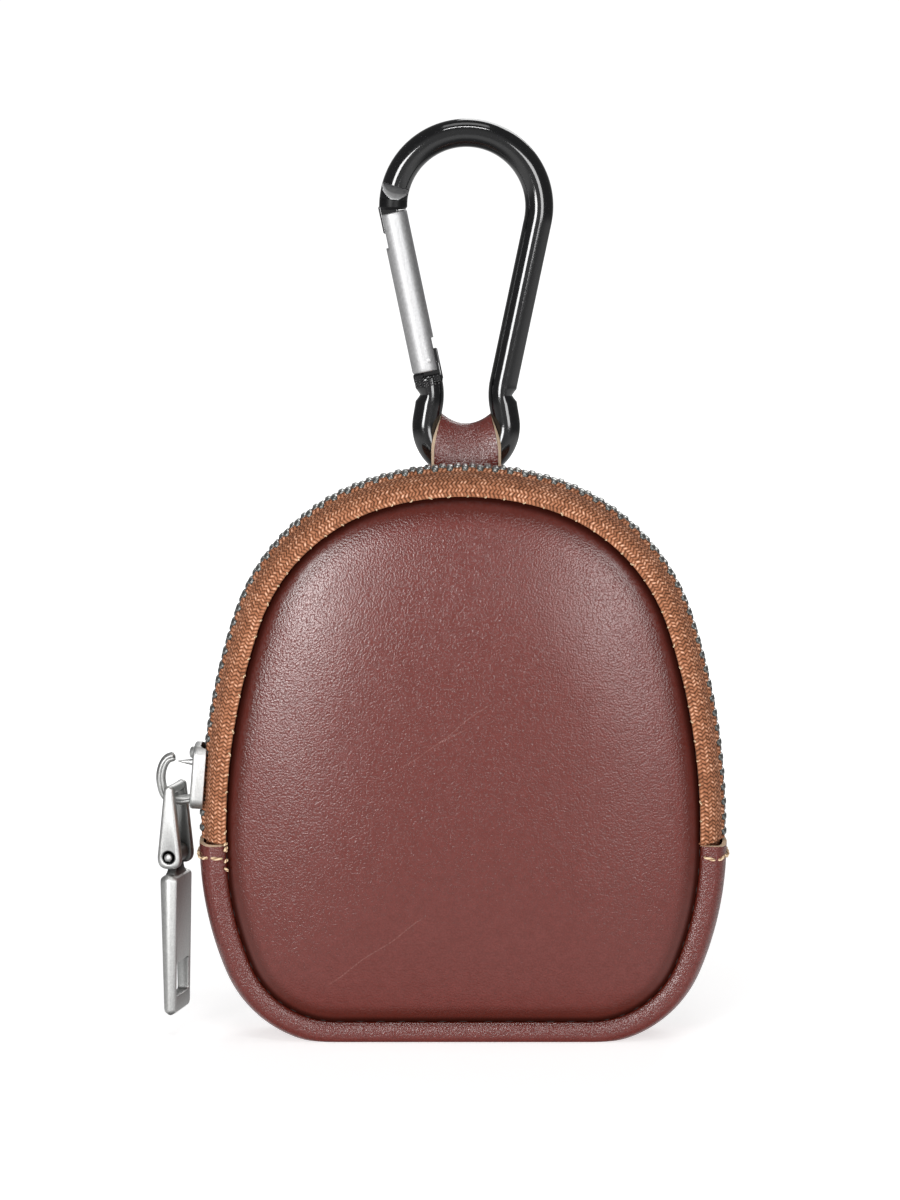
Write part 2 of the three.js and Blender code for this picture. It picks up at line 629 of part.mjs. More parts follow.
// Hanging strap: a teardrop wall round the bar at every station across its width. Beside the bar it
// follows the eye's rise to each side. Over the bar it is squeezed together to pass through the eye.
function strapGeometry() {
  const hole = BAR / 2 + GAP;
  const pointAt = (share, radius, turn) => {
    const climb = Math.max(0, Math.sin(turn));
    const sink = Math.min(0, Math.sin(turn));
    const x = share * (STRAP.half + (STRAP.foldHalf - STRAP.half) * climb ** 1.5);
    const slope = Math.asin((share * STRAP.half) / EYE_RADIUS);
    const beside = EYE_LOW + EYE_RADIUS * (1 - Math.cos(slope));
    const fold = STRAP_FOLD.middle + (STRAP_FOLD.edge - STRAP_FOLD.middle) * share ** 2;
    const over = fold - (hole + STRAP.wall - radius);
    const z = beside + (over - beside) * climb + (radius * sink) / Math.cos(slope);
    return new THREE.Vector3(HOOK_ASIDE + x, HOOK_DEPTH + radius * Math.cos(turn), z);
  };
  const ringAt = (share, radius) => {
    const points = [];
    for (let k = 0; k < STRAP_ARC.steps; k += 1) {
      const turn = STRAP_ARC.from + ((STRAP_ARC.to - STRAP_ARC.from) * k) / (STRAP_ARC.steps - 1);
      points.push(pointAt(share, radius, radians(turn)));
    }
    return points;
  };
  const tailAt = (share) => {
    return [STRAP_TAIL.back, STRAP_TAIL.front].map((depth) => {
      return new THREE.Vector3(HOOK_ASIDE + share * STRAP_TAIL.half, depth, STRAP_TAIL.low);
    });
  };
  const holeFoot = (share) => [-60, -120].map((turn) => pointAt(share, hole, radians(turn)));
  const shares = Array.from({ length: STRAP_STATIONS + 1 }, (_, k) => -1 + (2 * k) / STRAP_STATIONS);
  const outside = shares.map((share) => [...ringAt(share, hole + STRAP.wall), ...tailAt(share)]);
  const inside = shares.map((share) => [...ringAt(share, hole), ...holeFoot(share)]).reverse();
  return loft([...outside, ...inside], { joined: true });
}

// Assembly

function pouchBody() {
  const body = new THREE.Group();
  body.add(meshOf("front_panel", panelGeometry(-1), leather));
  body.add(meshOf("back_panel", panelGeometry(1), leather));
  body.add(meshOf("gusset", gussetGeometry(), leather));
  body.add(meshOf("zip_tape_front", tapeGeometry(-1), tapeCloth));
  body.add(meshOf("zip_tape_back", tapeGeometry(1), tapeCloth));
  body.add(meshOf("zip_teeth_front", teethGeometry(-1), toothMetal));
  body.add(meshOf("zip_teeth_back", teethGeometry(1), toothMetal));
  body.add(meshOf("hang_strap", strapGeometry(), leather));
  return body;
}

function zipPull() {
  const pull = new THREE.Group();
  pull.rotation.z = PULL_TWIST;
  pull.add(meshOf("pull_link", linkGeometry(), pullMetal));
  pull.add(meshOf("pull_pin", pinGeometry(), pullMetal));
  const tab = meshOf("pull_tab", tabGeometry(), pullMetal);
  tab.position.z = -LINK.drop;
  pull.add(tab);
  return pull;
}

// The slider sits on the left side of the zip, turned so that its own X points out of the pouch.
function sliderWithPull() {
  const group = new THREE.Group();
  const { x, z, outX, outZ } = onOutline(sliderTravel, 0);
  const slider = meshOf("zip_slider", sliderGeometry(), pullMetal);
  const out = new THREE.Vector3(outX, 0, outZ);
  const along = new THREE.Vector3(outZ, 0, -outX);
  const turned = new THREE.Matrix4().makeBasis(out, along.clone().cross(out), along);
  slider.position.set(x, 0, z);
  slider.setRotationFromMatrix(turned);
  const pull = zipPull();
  pull.position.copy(slider.position);
  pull.position.addScaledVector(out, PULL_SEAT.out).addScaledVector(along, PULL_SEAT.along);
  group.add(slider, pull);
  return group;
}

function snapHook() {
  const hook = new THREE.Group();
  hook.position.set(HOOK_ASIDE, HOOK_DEPTH, EYE_LOW + EYE_RADIUS);
  hook.add(meshOf("clip_frame", frameGeometry(), blackAnodised));
  hook.add(meshOf("clip_gate", gateGeometry(), gateMetal));
  hook.add(meshOf("clip_pin", gatePinGeometry(), gateMetal));
  return hook;
}

const pouch = new THREE.Group();
pouch.add(pouchBody(), sliderWithPull(), snapHook());

export default pouch;
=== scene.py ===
import math

import bmesh
import bpy
import numpy as np
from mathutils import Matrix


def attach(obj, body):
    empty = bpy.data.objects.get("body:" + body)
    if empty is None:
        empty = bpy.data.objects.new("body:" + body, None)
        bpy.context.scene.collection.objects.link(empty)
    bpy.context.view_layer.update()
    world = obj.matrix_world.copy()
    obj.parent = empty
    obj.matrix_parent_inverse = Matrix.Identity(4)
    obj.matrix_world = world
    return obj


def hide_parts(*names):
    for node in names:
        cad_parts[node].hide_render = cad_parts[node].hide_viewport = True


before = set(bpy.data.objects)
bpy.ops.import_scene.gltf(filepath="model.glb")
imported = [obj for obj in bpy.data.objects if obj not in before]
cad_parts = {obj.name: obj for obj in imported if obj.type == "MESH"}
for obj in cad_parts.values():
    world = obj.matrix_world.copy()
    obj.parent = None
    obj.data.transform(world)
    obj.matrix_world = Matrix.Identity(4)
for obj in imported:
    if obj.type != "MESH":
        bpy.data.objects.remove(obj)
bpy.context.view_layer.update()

# The leather panels. Two moulded panels of waxed leather over thin foam make the front and the back.
# Each is dished, with its edge turned in, and is sewn to the band that runs round the pouch.
# Sizes here and below are in millimetres, and a mesh is put into metres when it is made.

MM = 0.001
OUTLINE_ARCS = {  # the pouch from the front, from the middle of the top down: radius, turn in degrees
    "crown": (49.4, 16.3),
    "shoulder": (34.1, 55.1),
    "side": (108.8, 21.2),
    "flank": (53.8, 19.9),
    "corner": (19.5, 67.5),
}
BASE_HALF = 20.1  # half the straight stretch of the base
BASE_FLATTENED = 1.2  # how much of the band's arch the floor presses flat
SEAM_INSET = 4.6  # from the outline in to the panel seams
SEAM_DEPTH = 7.6  # from the middle plane out to each panel seam
PANEL_EDGE = SEAM_INSET - 0.05
PANEL_WALL = 1.5
PANEL_TUCK = 1.0  # how far the turned edge reaches into the seam
PANEL_TURN = 5.2  # width of the rounded shoulder
PANEL_SHOULDER = 0.85  # height of the shoulder's quarter ellipse
PANEL_SLOPE = 0.24  # slope where the shoulder meets the dome
PANEL_DOME = 2.55  # further rise from the shoulder to the middle
PANEL_FLATNESS = 3.1  # power with which the dome falls away from the middle
PANEL_CENTRE = 42.0
PANEL_SLACK = 0.05
PANEL_PUCKER = 0.012
PANEL_FACE = 34.0  # from the shoulder to the middle of the face, about
LOW_SEAM_SHADE = dict(top=52.0, fade=20.0, share=0.35)  # below the top, distances from the seam count for more, so the painted shade of the darker margin and groove is narrower lower down
STITCH_PITCH = 3.3

arc_radius, arc_degrees = np.array(list(OUTLINE_ARCS.values())).T
arc_turn = np.radians(arc_degrees)
arc_heading = np.cumsum(arc_turn) - arc_turn
arc_end = np.cumsum(arc_radius * arc_turn)
arc_start = arc_end - arc_radius * arc_turn
centre_step = np.concatenate([[0.0], -np.diff(arc_radius)])
arc_x = np.cumsum(centre_step * np.sin(arc_heading))
arc_z = np.cumsum(centre_step * np.cos(arc_heading))
arc_z += arc_radius[-1] - BASE_FLATTENED - arc_z[-1]
HALF_OUTLINE = arc_end[-1] + BASE_HALF


def outline(travel, inset):
    """Places on the outline: travel runs from the middle of the top, to the right if positive, and inset
    runs inwards. Each place lies on its arc, its radius less the inset from the arc's centre, and the
    base goes on straight from the last arc. Gives x, z and the two parts of the outward direction."""
    wrapped = (np.asarray(travel) + HALF_OUTLINE) % (2 * HALF_OUTLINE) - HALF_OUTLINE
    side = np.where(wrapped < 0, -1.0, 1.0)
    distance = np.abs(wrapped)
    on_arc = np.minimum(distance, arc_end[-1])
    arc = np.minimum(np.searchsorted(arc_end, on_arc), len(arc_end) - 1)
    heading = arc_heading[arc] + (on_arc - arc_start[arc]) / arc_radius[arc]
    reach = arc_radius[arc] - inset
    x = arc_x[arc] + reach * np.sin(heading) - (distance - on_arc)
    z = arc_z[arc] + reach * np.cos(heading)
    return side * x, z, side * np.sin(heading) + 0 * z, np.cos(heading) + 0 * z


def grid_points(x, y, z):
    """Puts three arrays together as points."""
    return np.stack(np.broadcast_arrays(x, y, z), axis=-1)


def make_mesh(name, *grids, crease=40.0):
    """One object from grids of points, each with rows and columns, or a stack of such grids. Neighbouring
    points make four-sided faces, points that meet are merged and the faces are turned to point out.
    A grid may carry uv, a finish number for its faces, and other named values on its points."""
    points, corners, finishes, first = [], [], [], 0
    for grid in grids:
        layer = np.asarray(grid["points"], float)
        rows, columns = layer.shape[-3:-1]
        index = first + np.arange(layer.size // 3).reshape(-1, rows, columns)
        quads = np.stack([index[:, :-1, :-1], index[:, 1:, :-1], index[:, 1:, 1:], index[:, :-1, 1:]], -1)
        corners.append(quads.reshape(-1, 4))
        finishes.append(np.full(len(corners[-1]), grid.get("finish", 0)))
        points.append(layer.reshape(-1, 3))
        first += layer.size // 3
    corners = np.concatenate(corners)
    mesh = bpy.data.meshes.new(name)
    mesh.vertices.add(first)
    mesh.vertices.foreach_set("co", (np.concatenate(points) * MM).ravel())
    mesh.loops.add(corners.size)
    mesh.loops.foreach_set("vertex_index", corners.ravel())
    mesh.polygons.add(len(corners))
    mesh.polygons.foreach_set("loop_start", np.arange(0, corners.size, 4))
    mesh.polygons.foreach_set("material_index", np.concatenate(finishes))
    mesh.update(calc_edges=True)
    for value in sorted(set().union(*grids) - {"points", "finish"}):
        width = 2 if value == "uv" else 1
        spread = []
        for grid in grids:
            shape = np.asarray(grid["points"]).shape[:-1] + ((2,) if width == 2 else ())
            spread.append(np.broadcast_to(grid.get(value, 0.0), shape).reshape(-1, width))
        spread = np.concatenate(spread).astype(float)
        if value == "uv":
            mesh.uv_layers.new(name="UVMap").data.foreach_set("uv", spread[corners.ravel()].ravel())
        else:
            mesh.attributes.new(value, "FLOAT", "POINT").data.foreach_set("value", spread.ravel())
    edit = bmesh.new()
    edit.from_mesh(mesh)
    bmesh.ops.remove_doubles(edit, verts=edit.verts, dist=0.003 * MM)
    bmesh.ops.recalc_face_normals(edit, faces=edit.faces)
    edit.to_mesh(mesh)
    edit.free()
    mesh.polygons.foreach_set("use_smooth", np.ones(len(mesh.polygons), bool))
    mesh.set_sharp_from_angle(angle=math.radians(crease))
    made = bpy.data.objects.new(name, mesh)
    bpy.context.scene.collection.objects.link(made)
    return made


def fasten(piece, finishes, body="pouch", replaces=()):
    """Gives a piece its finishes, the body that it moves with and the solids it stands for."""
    for finish in finishes:
        piece.data.materials.append(finish)
    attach(piece, body)
    if replaces:
        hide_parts(*replaces)
    return piece


class Shade:
    """A value in a material. Sums and products of it add Math nodes, and node() adds any other node."""

    def __init__(self, tree, socket=None):
        self.tree = tree
        self.socket = socket

    def node(self, kind, settings={}, sockets={}, output=0):
        """Adds one node: first its settings, then the value or link of each socket, by name or number."""
        added = self.tree.nodes.new("ShaderNode" + kind)
        for name, value in settings.items():
            setattr(added, name, value)
        for name, value in sockets.items():
            if isinstance(value, Shade):
                self.tree.links.new(value.socket, added.inputs[name])
            else:
                added.inputs[name].default_value = value
        return Shade(self.tree, added.outputs[output])

    def math(self, operation, *values):
        """One Math node on values or numbers."""
        return self.node("Math", {"operation": operation}, dict(enumerate(values)))

    def __add__(self, other):
        return self.math("ADD", self, other)

    def __sub__(self, other):
        return self.math("SUBTRACT", self, other)

    def __rsub__(self, other):
        return self.math("SUBTRACT", other, self)

    def __mul__(self, other):
        return self.math("MULTIPLY", self, other)

    __radd__ = __add__
    __rmul__ = __mul__

    def ease(self, low, high):
        """0 below low and 1 above high, with a smooth rise between."""
        edges = {"Value": self, "From Min": low, "From Max": high}
        return self.node("MapRange", {"interpolation_type": "SMOOTHSTEP"}, edges)

    def colour(self, low, high):
        """The colour this share of the way from low to high."""
        return self.node("Mix", {"data_type": "RGBA"}, {0: self, 6: low, 7: high}, output=2)

    def value(self, name):
        """A named value that the mesh carries."""
        return self.node("Attribute", {"attribute_name": name}, output=2)

    def place(self, size=1.0, turn=(0, 0, 0), stretch=(1, 1, 1)):
        """Where a point is, in units of a size in millimetres, turned and stretched if asked."""
        scale = [part / (size * MM) for part in stretch]
        spot = self.node("TexCoord", output=3)
        return self.node("Mapping", {}, {"Vector": spot, "Rotation": turn, "Scale": scale})

    def noise(self, where, detail=2.0, output=0, roughness=0.5):
        """Cloudy noise at a place: output 0 is a value and output 1 a colour."""
        sockets = {"Vector": where, "Detail": detail, "Roughness": roughness}
        return self.node("TexNoise", {}, sockets, output)


def new_finish(name, fixed):
    """A material with one shader, whose sockets named in fixed have one value all over."""
    material = bpy.data.materials.new(name)
    material.use_nodes = True
    shader = material.node_tree.nodes["Principled BSDF"]
    for socket, value in fixed.items():
        shader.inputs[socket].default_value = value
    return material, Shade(material.node_tree), shader


def link(shader, shades):
    """Links shades to a shader's sockets."""
    for socket, shade in shades.items():
        shade.tree.links.new(shade.socket, shader.inputs[socket])


LEATHER_GROOVE_SHADE = (0.030, 0.006, 0.004, 1)
LEATHER_DEEP_AND_SHADE = (0.072, 0.0070, 0.0022, 1)
LEATHER_WARM = (0.150, 0.0300, 0.0245, 1)
LEATHER_PALE = (0.17, 0.052, 0.044, 1)
LEATHER_SCRATCHED = (0.48, 0.27, 0.23, 1)
GRAIN_SIZE = 0.31
GRAIN_DEPTH = 0.034
GRAIN_FADE = (1.4, 3.0)  # from the seam in, where the grain begins and where it is full
MARGIN_FADE = (2.1, 4.6)  # the same for the warm colour, before which the margin is darker, partly a burnished edge and partly painted shade
GROOVE_SHADE_FADE = (0.5, 1.6)  # and for the wax, before which the seam's groove is painted dark and matte as painted shade
SCRATCH_EDGE = (0.03, 0.14)  # half the width of a scratch, full and faded
SCRATCH_TAPER = 2.0  # length of its pointed ends
SCRATCH_SHARE = 0.2  # how far it turns the leather pale
SCRATCHES = (  # x, z, length and rise in degrees of a long pale scratch on the front
    (-10.5, 45.0, 13.5, 31),
    (-5.0, 48.5, 12.0, 37),
    (-28.2, 46.3, 5.8, 26),
    (-22.1, 9.5, 20.0, 36),
)


def scratched(start):
    """1 along a few thin scratches on the front: near each one's line, between its two ends."""
    spot = start.place(1.0)
    x, y, z = (start.node("SeparateXYZ", {}, {0: spot}, axis) for axis in range(3))
    worn = start.noise(start.place(0.8), detail=3.0).ease(0.35, 0.6) * (y * -1.0).ease(7.0, 7.5)
    total = 0.0
    for from_x, from_z, length, rise in SCRATCHES:
        run, climb = math.cos(math.radians(rise)), math.sin(math.radians(rise))
        along = (x - from_x) * run + (z - from_z) * climb
        across = (z - from_z) * run - (x - from_x) * climb
        aside = across.math("ABSOLUTE", across + 0.15 * along.math("SINE", along * 0.6))
        ends = along.ease(0, SCRATCH_TAPER) * (1 - along.ease(length - SCRATCH_TAPER, length))
        total = total + (1 - aside.ease(*SCRATCH_EDGE)) * ends
    return total * worn


def waxed_leather(name, grain=1.0, wax=0.7):
    """Red-brown leather: a low round pebble in each bent cell, worn smooth at a turned edge, mottled
    colour, pebble valleys darkened as painted shade, faint slanting pale streaks where the wax was
    stretched, and near a seam a darker margin, partly a burnished edge and partly painted shade, that
    ends in a groove painted dark and matte as painted shade."""
    material, start, shader = new_finish(name, {"Specular IOR Level": wax})
    bend = start.noise(start.place(1.3), output=1)
    spot = start.node("VectorMath", {"operation": "ADD"}, {0: start.place(GRAIN_SIZE), 1: bend})
    valley = start.node("TexVoronoi", {}, {"Vector": spot, "Scale": 1.0})
    from_edge = start.value("from_edge")
    height = valley * valley * from_edge.ease(*GRAIN_FADE) * -1.0
    bump = start.node("Bump", {}, {"Strength": grain, "Distance": GRAIN_DEPTH * MM, "Height": height})
    mottle = start.noise(start.place(7.0), detail=4.0, roughness=0.65).ease(0.3, 0.75)
    streak_place = start.place(2.2, turn=(0, math.radians(38), 0), stretch=(0.12, 1, 1))
    streaks = start.noise(streak_place, detail=3.0).ease(0.62, 0.8)
    # A darker margin by the seam: partly a burnished edge, partly painted shade toward the groove.
    margin = from_edge.ease(*MARGIN_FADE)
    warm = (0.15 + 0.85 * margin) * (0.76 + 0.24 * mottle)
    tint = warm.colour(LEATHER_DEEP_AND_SHADE, LEATHER_WARM)
    tint = (streaks * margin * 0.3).colour(tint, LEATHER_PALE)
    # The pebble valleys are darkened: painted shade in the grain.
    tint = (valley.ease(0.3, 0.65) * margin * 0.25).colour(tint, LEATHER_DEEP_AND_SHADE)
    tint = (scratched(start) * SCRATCH_SHARE).colour(tint, LEATHER_SCRATCHED)
    rough = 0.12 + 0.12 * valley.ease(0.35, 0.65) + 0.03 * mottle
    link(shader, {"Base Color": tint, "Roughness": rough, "Normal": bump})
    face = Shade(start.tree, shader.outputs[0])
    # Within the groove's fade the face gives way to a dark matte shader: painted shade in the seam's
    # groove.
    matte_groove_shade = {"Base Color": LEATHER_GROOVE_SHADE, "Roughness": 0.9, "Specular IOR Level": 0.0}
    groove = start.node("BsdfPrincipled", {}, matte_groove_shade)
    surface = start.node("MixShader", {}, {0: from_edge.ease(*GROOVE_SHADE_FADE), 1: groove, 2: face})
    link(material.node_tree.nodes["Material Output"], {"Surface": surface})
    return material


def panel_points(side):
    """A panel's closed wall. Rows run from the middle of the face to the edge and back along the inside.
    The shoulder is a quarter of an ellipse on a slope, and within it the outline shrinks to the middle
    while a dome rises by a power of the shrinking. The face is a little slack and puckers at stitches.
    Gives the points and each one's distance from the seam."""
    travel = np.linspace(-HALF_OUTLINE, HALF_OUTLINE, 361)
    shrink = np.linspace(0.0, 1.0, 40)[:-1]
    swing = np.linspace(np.pi / 2, 0.0, 24)
    keep = np.concatenate([shrink, np.ones(2 * len(swing)), shrink[::-1]])
    turned = np.concatenate([0 * shrink + np.pi / 2, swing, swing[::-1], 0 * shrink + np.pi / 2])
    wall = PANEL_WALL * (np.arange(len(keep)) >= len(keep) // 2)
    inset = PANEL_TURN - (PANEL_TURN - wall) * np.cos(turned)
    rise = (PANEL_SHOULDER - wall) * np.sin(turned) + PANEL_SLOPE * inset - PANEL_TUCK
    rise = rise + PANEL_DOME * (1 - keep**PANEL_FLATNESS)
    keep, rise, inset = keep[:, None], rise[:, None], inset[:, None]
    x, z, _, _ = outline(travel[None, :], PANEL_EDGE + inset)
    x = x * keep
    z = PANEL_CENTRE + (z - PANEL_CENTRE) * keep
    slack = np.sin(x / 7.1 + 0.6 * side) * np.sin(z / 9.3 + 1.1) + 0.6 * np.sin((x + z) / 5.2 + side)
    pucker = np.cos(2 * np.pi * travel / STITCH_PITCH)[None, :] * np.exp(-(((inset - 1.2) / 1.0) ** 2))
    face = np.clip(inset / PANEL_TURN, 0, 1)
    y = SEAM_DEPTH + rise + PANEL_SLACK * slack * face - PANEL_PUCKER * pucker
    low = np.clip((LOW_SEAM_SHADE["top"] - z) / LOW_SEAM_SHADE["fade"], 0, 1)
    from_seam = (inset + (1 - keep) * PANEL_FACE) * (1 + LOW_SEAM_SHADE["share"] * low)
    return grid_points(x, side * y, z), from_seam


body_leather = waxed_leather("waxed_leather")
for name, side in (("front_panel", -1), ("back_panel", 1)):
    points, from_edge = panel_points(side)
    panel = make_mesh(name + "_leather", dict(points=points, from_edge=from_edge))
    fasten(panel, [body_leather], replaces=[name])

# The gusset. A band of the same leather, with a coarser grain, runs round the base from one end of the zip
# to the other. It is arched, rolls into the two seams and is pressed flat where the pouch stands. Its cut
# ends lie over the zip tape and show the raw edge of the hide.

BAND_ROUNDNESS = 2.5
GUSSET_WALL = 0.7
GUSSET_FOOT = 2.5  # inset where the band begins to roll into the seam
GUSSET_ROLL = 0.9  # and how far it rolls back
GUSSET_WAXED = dict(first=0.1, rate=4.0)  # its wax, grain and colour come up this fast from the seam, after the painted shade of the groove
CUT_WAVER = dict(size=0.12, fade=2.0)  # how far a cut end wavers, and over what length
RAW_SLANT = 0.15  # the cut end leans back by this much
END_ROWS = np.array([0.0, 0.12, 0.4, 1.0])
ZIP_END = 84.088  # travel from the middle of the top to the end of the zip
RAW_EDGE = (0.88, 0.72, 0.54, 1)
RAW_FIBRE = (0.55, 0.36, 0.22, 1)


def band_section(crest, foot, wall, low, high, rows):
    """An arch from depth angle low to high: depth and inset lie on a superellipse between the foot
    and the crest, and the inner face lies one wall further in. Gives both faces' depths and insets."""
    swing = np.linspace(low, high, rows)
    across = np.sign(np.sin(swing)) * np.abs(np.sin(swing)) ** (2 / BAND_ROUNDNESS)
    height = np.clip(np.cos(swing), 0, 1) ** (2 / BAND_ROUNDNESS)
    outer = SEAM_DEPTH * across, foot - (foot - crest) * height
    inner = (SEAM_DEPTH - wall) * across, foot - (foot - crest - wall) * height
    return outer, inner


def rolled(depth, inset):
    """An arch whose two sides go on from their feet into the seams, rolled back by a quarter ellipse."""
    turn = np.linspace(0, np.pi / 2, 8)[1:]
    back = depth[-1] - GUSSET_ROLL * (1 - np.cos(turn))
    down = inset[-1] + (SEAM_INSET - GUSSET_FOOT) * np.sin(turn)
    return np.concatenate([-back[::-1], depth, back]), np.concatenate([down[::-1], inset, down])


def pressed(z, floor):
    """Heights kept above a floor, with a soft turn where the floor begins to press."""
    above = z - floor
    return floor + (above + np.sqrt(above**2 + 0.12**2)) / 2


def raw_hide(name):
    """The pale cut edge of leather, with short fibres across it."""
    material, start, shader = new_finish(name, {"Roughness": 0.9, "Specular IOR Level": 0.2})
    fibres = start.noise(start.place(0.25, stretch=(1, 1, 0.4)), detail=4.0)
    link(shader, {
        "Base Color": fibres.ease(0.3, 0.7).colour(RAW_FIBRE, RAW_EDGE),
        "Normal": start.node("Bump", {}, {"Strength": 0.7, "Distance": 0.1 * MM, "Height": fibres}),
    })
    return material


gusset_arch = band_section(0.0, GUSSET_FOOT, GUSSET_WALL, -np.pi / 2, np.pi / 2, 49)
(face_depth, face_inset), (back_depth, back_inset) = (rolled(*face) for face in gusset_arch)
face_along = np.concatenate([[0.0], np.cumsum(np.hypot(np.diff(face_depth), np.diff(face_inset)))])
face_from_seam = np.minimum(face_along, face_along[-1] - face_along)
face_from_edge = GUSSET_WAXED["first"] + GUSSET_WAXED["rate"] * face_from_seam


def gusset_face(depth, inset, floor, end):
    """The band's face or back: the section carried along the outline and pressed flat by the floor. The
    face ends a little short of the back, so the raw edge is slanted, and the cut wavers slightly."""
    start, stop = ZIP_END + end, 2 * HALF_OUTLINE - ZIP_END - end
    middle = np.linspace(start, stop, 150)[2:-2]
    travel = np.concatenate([start + END_ROWS, middle, stop - END_ROWS[::-1]])[:, None]
    near_end = np.clip(1 - np.minimum(travel - start, stop - travel) / CUT_WAVER["fade"], 0, 1)
    waver = CUT_WAVER["size"] * np.sin(depth * 0.9 + 0.5)[None, :] * near_end
    x, z, _, _ = outline(travel + waver, inset[None, :])
    return grid_points(x, depth[None, :] + 0 * x, pressed(z, floor))


gusset_out = gusset_face(face_depth, face_inset, 0.0, RAW_SLANT)
gusset_in = gusset_face(back_depth, back_inset, GUSSET_WALL, 0.0)
raw_edge = raw_hide("raw_hide")
gusset_leather = waxed_leather("gusset_leather", grain=1.8)
gusset = make_mesh(
    "gusset_leather",
    dict(points=gusset_out, from_edge=face_from_edge),
    dict(points=gusset_in, from_edge=5.0),
    # The strips that close the band along the seams take the groove's painted shade all over.
    dict(points=np.stack([gusset_out[:, 0], gusset_in[:, 0]]), from_edge=0.0),
    dict(points=np.stack([gusset_out[:, -1], gusset_in[:, -1]]), from_edge=0.0),
    dict(points=np.stack([gusset_out[0], gusset_in[0]]), finish=1),
    dict(points=np.stack([gusset_out[-1], gusset_in[-1]]), finish=1),
)
fasten(gusset, [gusset_leather, raw_edge], replaces=["gusset"])

# The zip tapes. Each half is a brown herringbone tape, sewn into the panel seam, arched over to the
# middle and finished with a thick corded edge that the teeth are clamped on.

TAPE_CREST = 0.9  # the tape's crest lies this far inside the outline
TAPE_WALL = 0.5
TAPE_EDGE_SWING = 0.36  # where the arch meets the cord, as an angle from the crest
TAPE_END = ZIP_END + 2.5  # the tape runs on under the gusset
TAPE_TUCK = 1.0  # and lies this much lower there
CORD = dict(depth=2.25, inset=1.3, radius=0.82)
WEAVE = dict(pitch=0.66, lane=0.7, slant=0.55, relief=0.085)
CLOTH_HOLLOW_SHADE = (0.045, 0.014, 0.006, 1)
CLOTH_MID = (0.41, 0.160, 0.078, 1)
CLOTH_PALE = (0.94, 0.58, 0.40, 1)


def zip_cloth(name):
    """Brown cotton thread: pale on the ridges of the weave and dark between them as painted shade, with
    some fluff.
    """
    material, start, shader = new_finish(name, {"Roughness": 0.88, "Specular IOR Level": 0.25})
    ridge = start.value("ridge")
    fluff = start.noise(start.place(0.22), detail=4.0, roughness=0.7)
    shade = start.noise(start.place(6.0)).ease(0.3, 0.7)
    # Darker where the weave is low: painted shade between the ridges.
    tint = (ridge + (fluff - 0.5) * 0.9).ease(-0.05, 0.45).colour(CLOTH_HOLLOW_SHADE, CLOTH_MID)
    tint = (ridge + (fluff - 0.5) * 0.9 - 0.12 * shade).ease(0.4, 0.95).colour(tint, CLOTH_PALE)
    link(shader, {
        "Base Color": tint,
        "Normal": start.node("Bump", {}, {"Strength": 0.6, "Distance": 0.06 * MM, "Height": fluff}),
    })
    return material


def scatter(lane, stroke):
    """An even spread of shares from 0 to 1 that look unrelated, one for each lane and stroke."""
    return np.modf(np.abs(np.sin(lane * 37.7 + stroke * 78.2 + 1.3)) * 43758.5)[0]


def tape_mesh(name, side):
    """The tape's closed section, from the seam over the arch and round the cord and back inside, carried
    along the outline. The twill is raised from it in lanes of short strokes that slant one way in one
    lane and the other way in the next, each lane set off and each stroke raised by its own amount."""
    (arch_depth, arch_inset), (in_depth, in_inset) = band_section(
        TAPE_CREST, SEAM_INSET, TAPE_WALL, np.pi / 2, TAPE_EDGE_SWING, 40
    )
    round_cord = np.linspace(-0.15 * np.pi, -1.5 * np.pi, 15)
    cord_depth = CORD["depth"] + CORD["radius"] * np.cos(round_cord)
    cord_inset = CORD["inset"] + CORD["radius"] * np.sin(round_cord)
    depth = np.concatenate([arch_depth, cord_depth])
    inset = np.concatenate([arch_inset, cord_inset])
    across = np.concatenate([[0.0], np.cumsum(np.hypot(np.diff(depth), np.diff(inset)))])
    turn_depth, turn_inset = np.gradient(depth), np.gradient(inset)
    size = np.hypot(turn_depth, turn_inset)
    out_depth, out_inset = -turn_inset / size, turn_depth / size
    travel = np.linspace(-TAPE_END, TAPE_END, 1150)[:, None]
    lane = np.floor(across / WEAVE["lane"])[None, :]
    inside = across[None, :] / WEAVE["lane"] - lane
    slant = WEAVE["slant"] * (inside - 0.5) * (-1) ** lane
    phase = travel / WEAVE["pitch"] + slant + scatter(lane, 0.0) + 0.15 * np.sin(travel * 1.7 + 2.3 * lane)
    ridge = (0.5 - 0.5 * np.cos(2 * np.pi * phase)) ** 0.8
    ridge = ridge * (0.4 + 0.6 * scatter(lane, np.floor(phase))) * (0.5 + 0.5 * np.sin(np.pi * inside))
    under = np.clip((np.abs(travel) - ZIP_END + 0.5) / 0.6, 0, 1)
    raised = WEAVE["relief"] * ridge - TAPE_TUCK * under
    x, z, _, _ = outline(travel, inset + raised * out_inset)
    face = grid_points(x, side * (depth + raised * out_depth), z)
    x, z, _, _ = outline(travel, in_inset[None, :] + TAPE_TUCK * under)
    back = grid_points(x, side * (in_depth[None, :] - TAPE_TUCK * under) + 0 * x, z)
    return make_mesh(
        name,
        dict(points=face, ridge=ridge),
        dict(points=back[:, [0, -1]], ridge=0.2),
        dict(points=np.stack([face[:, 0], back[:, 0]]), ridge=0.2),
        dict(points=np.stack([face[:, -1], back[:, -1]]), ridge=0.2),
        crease=180.0,
    )


cloth = zip_cloth("zip_cloth")
for name, side in (("zip_tape_front", -1), ("zip_tape_back", 1)):
    fasten(tape_mesh(name + "_cloth", side), [cloth], replaces=[name])

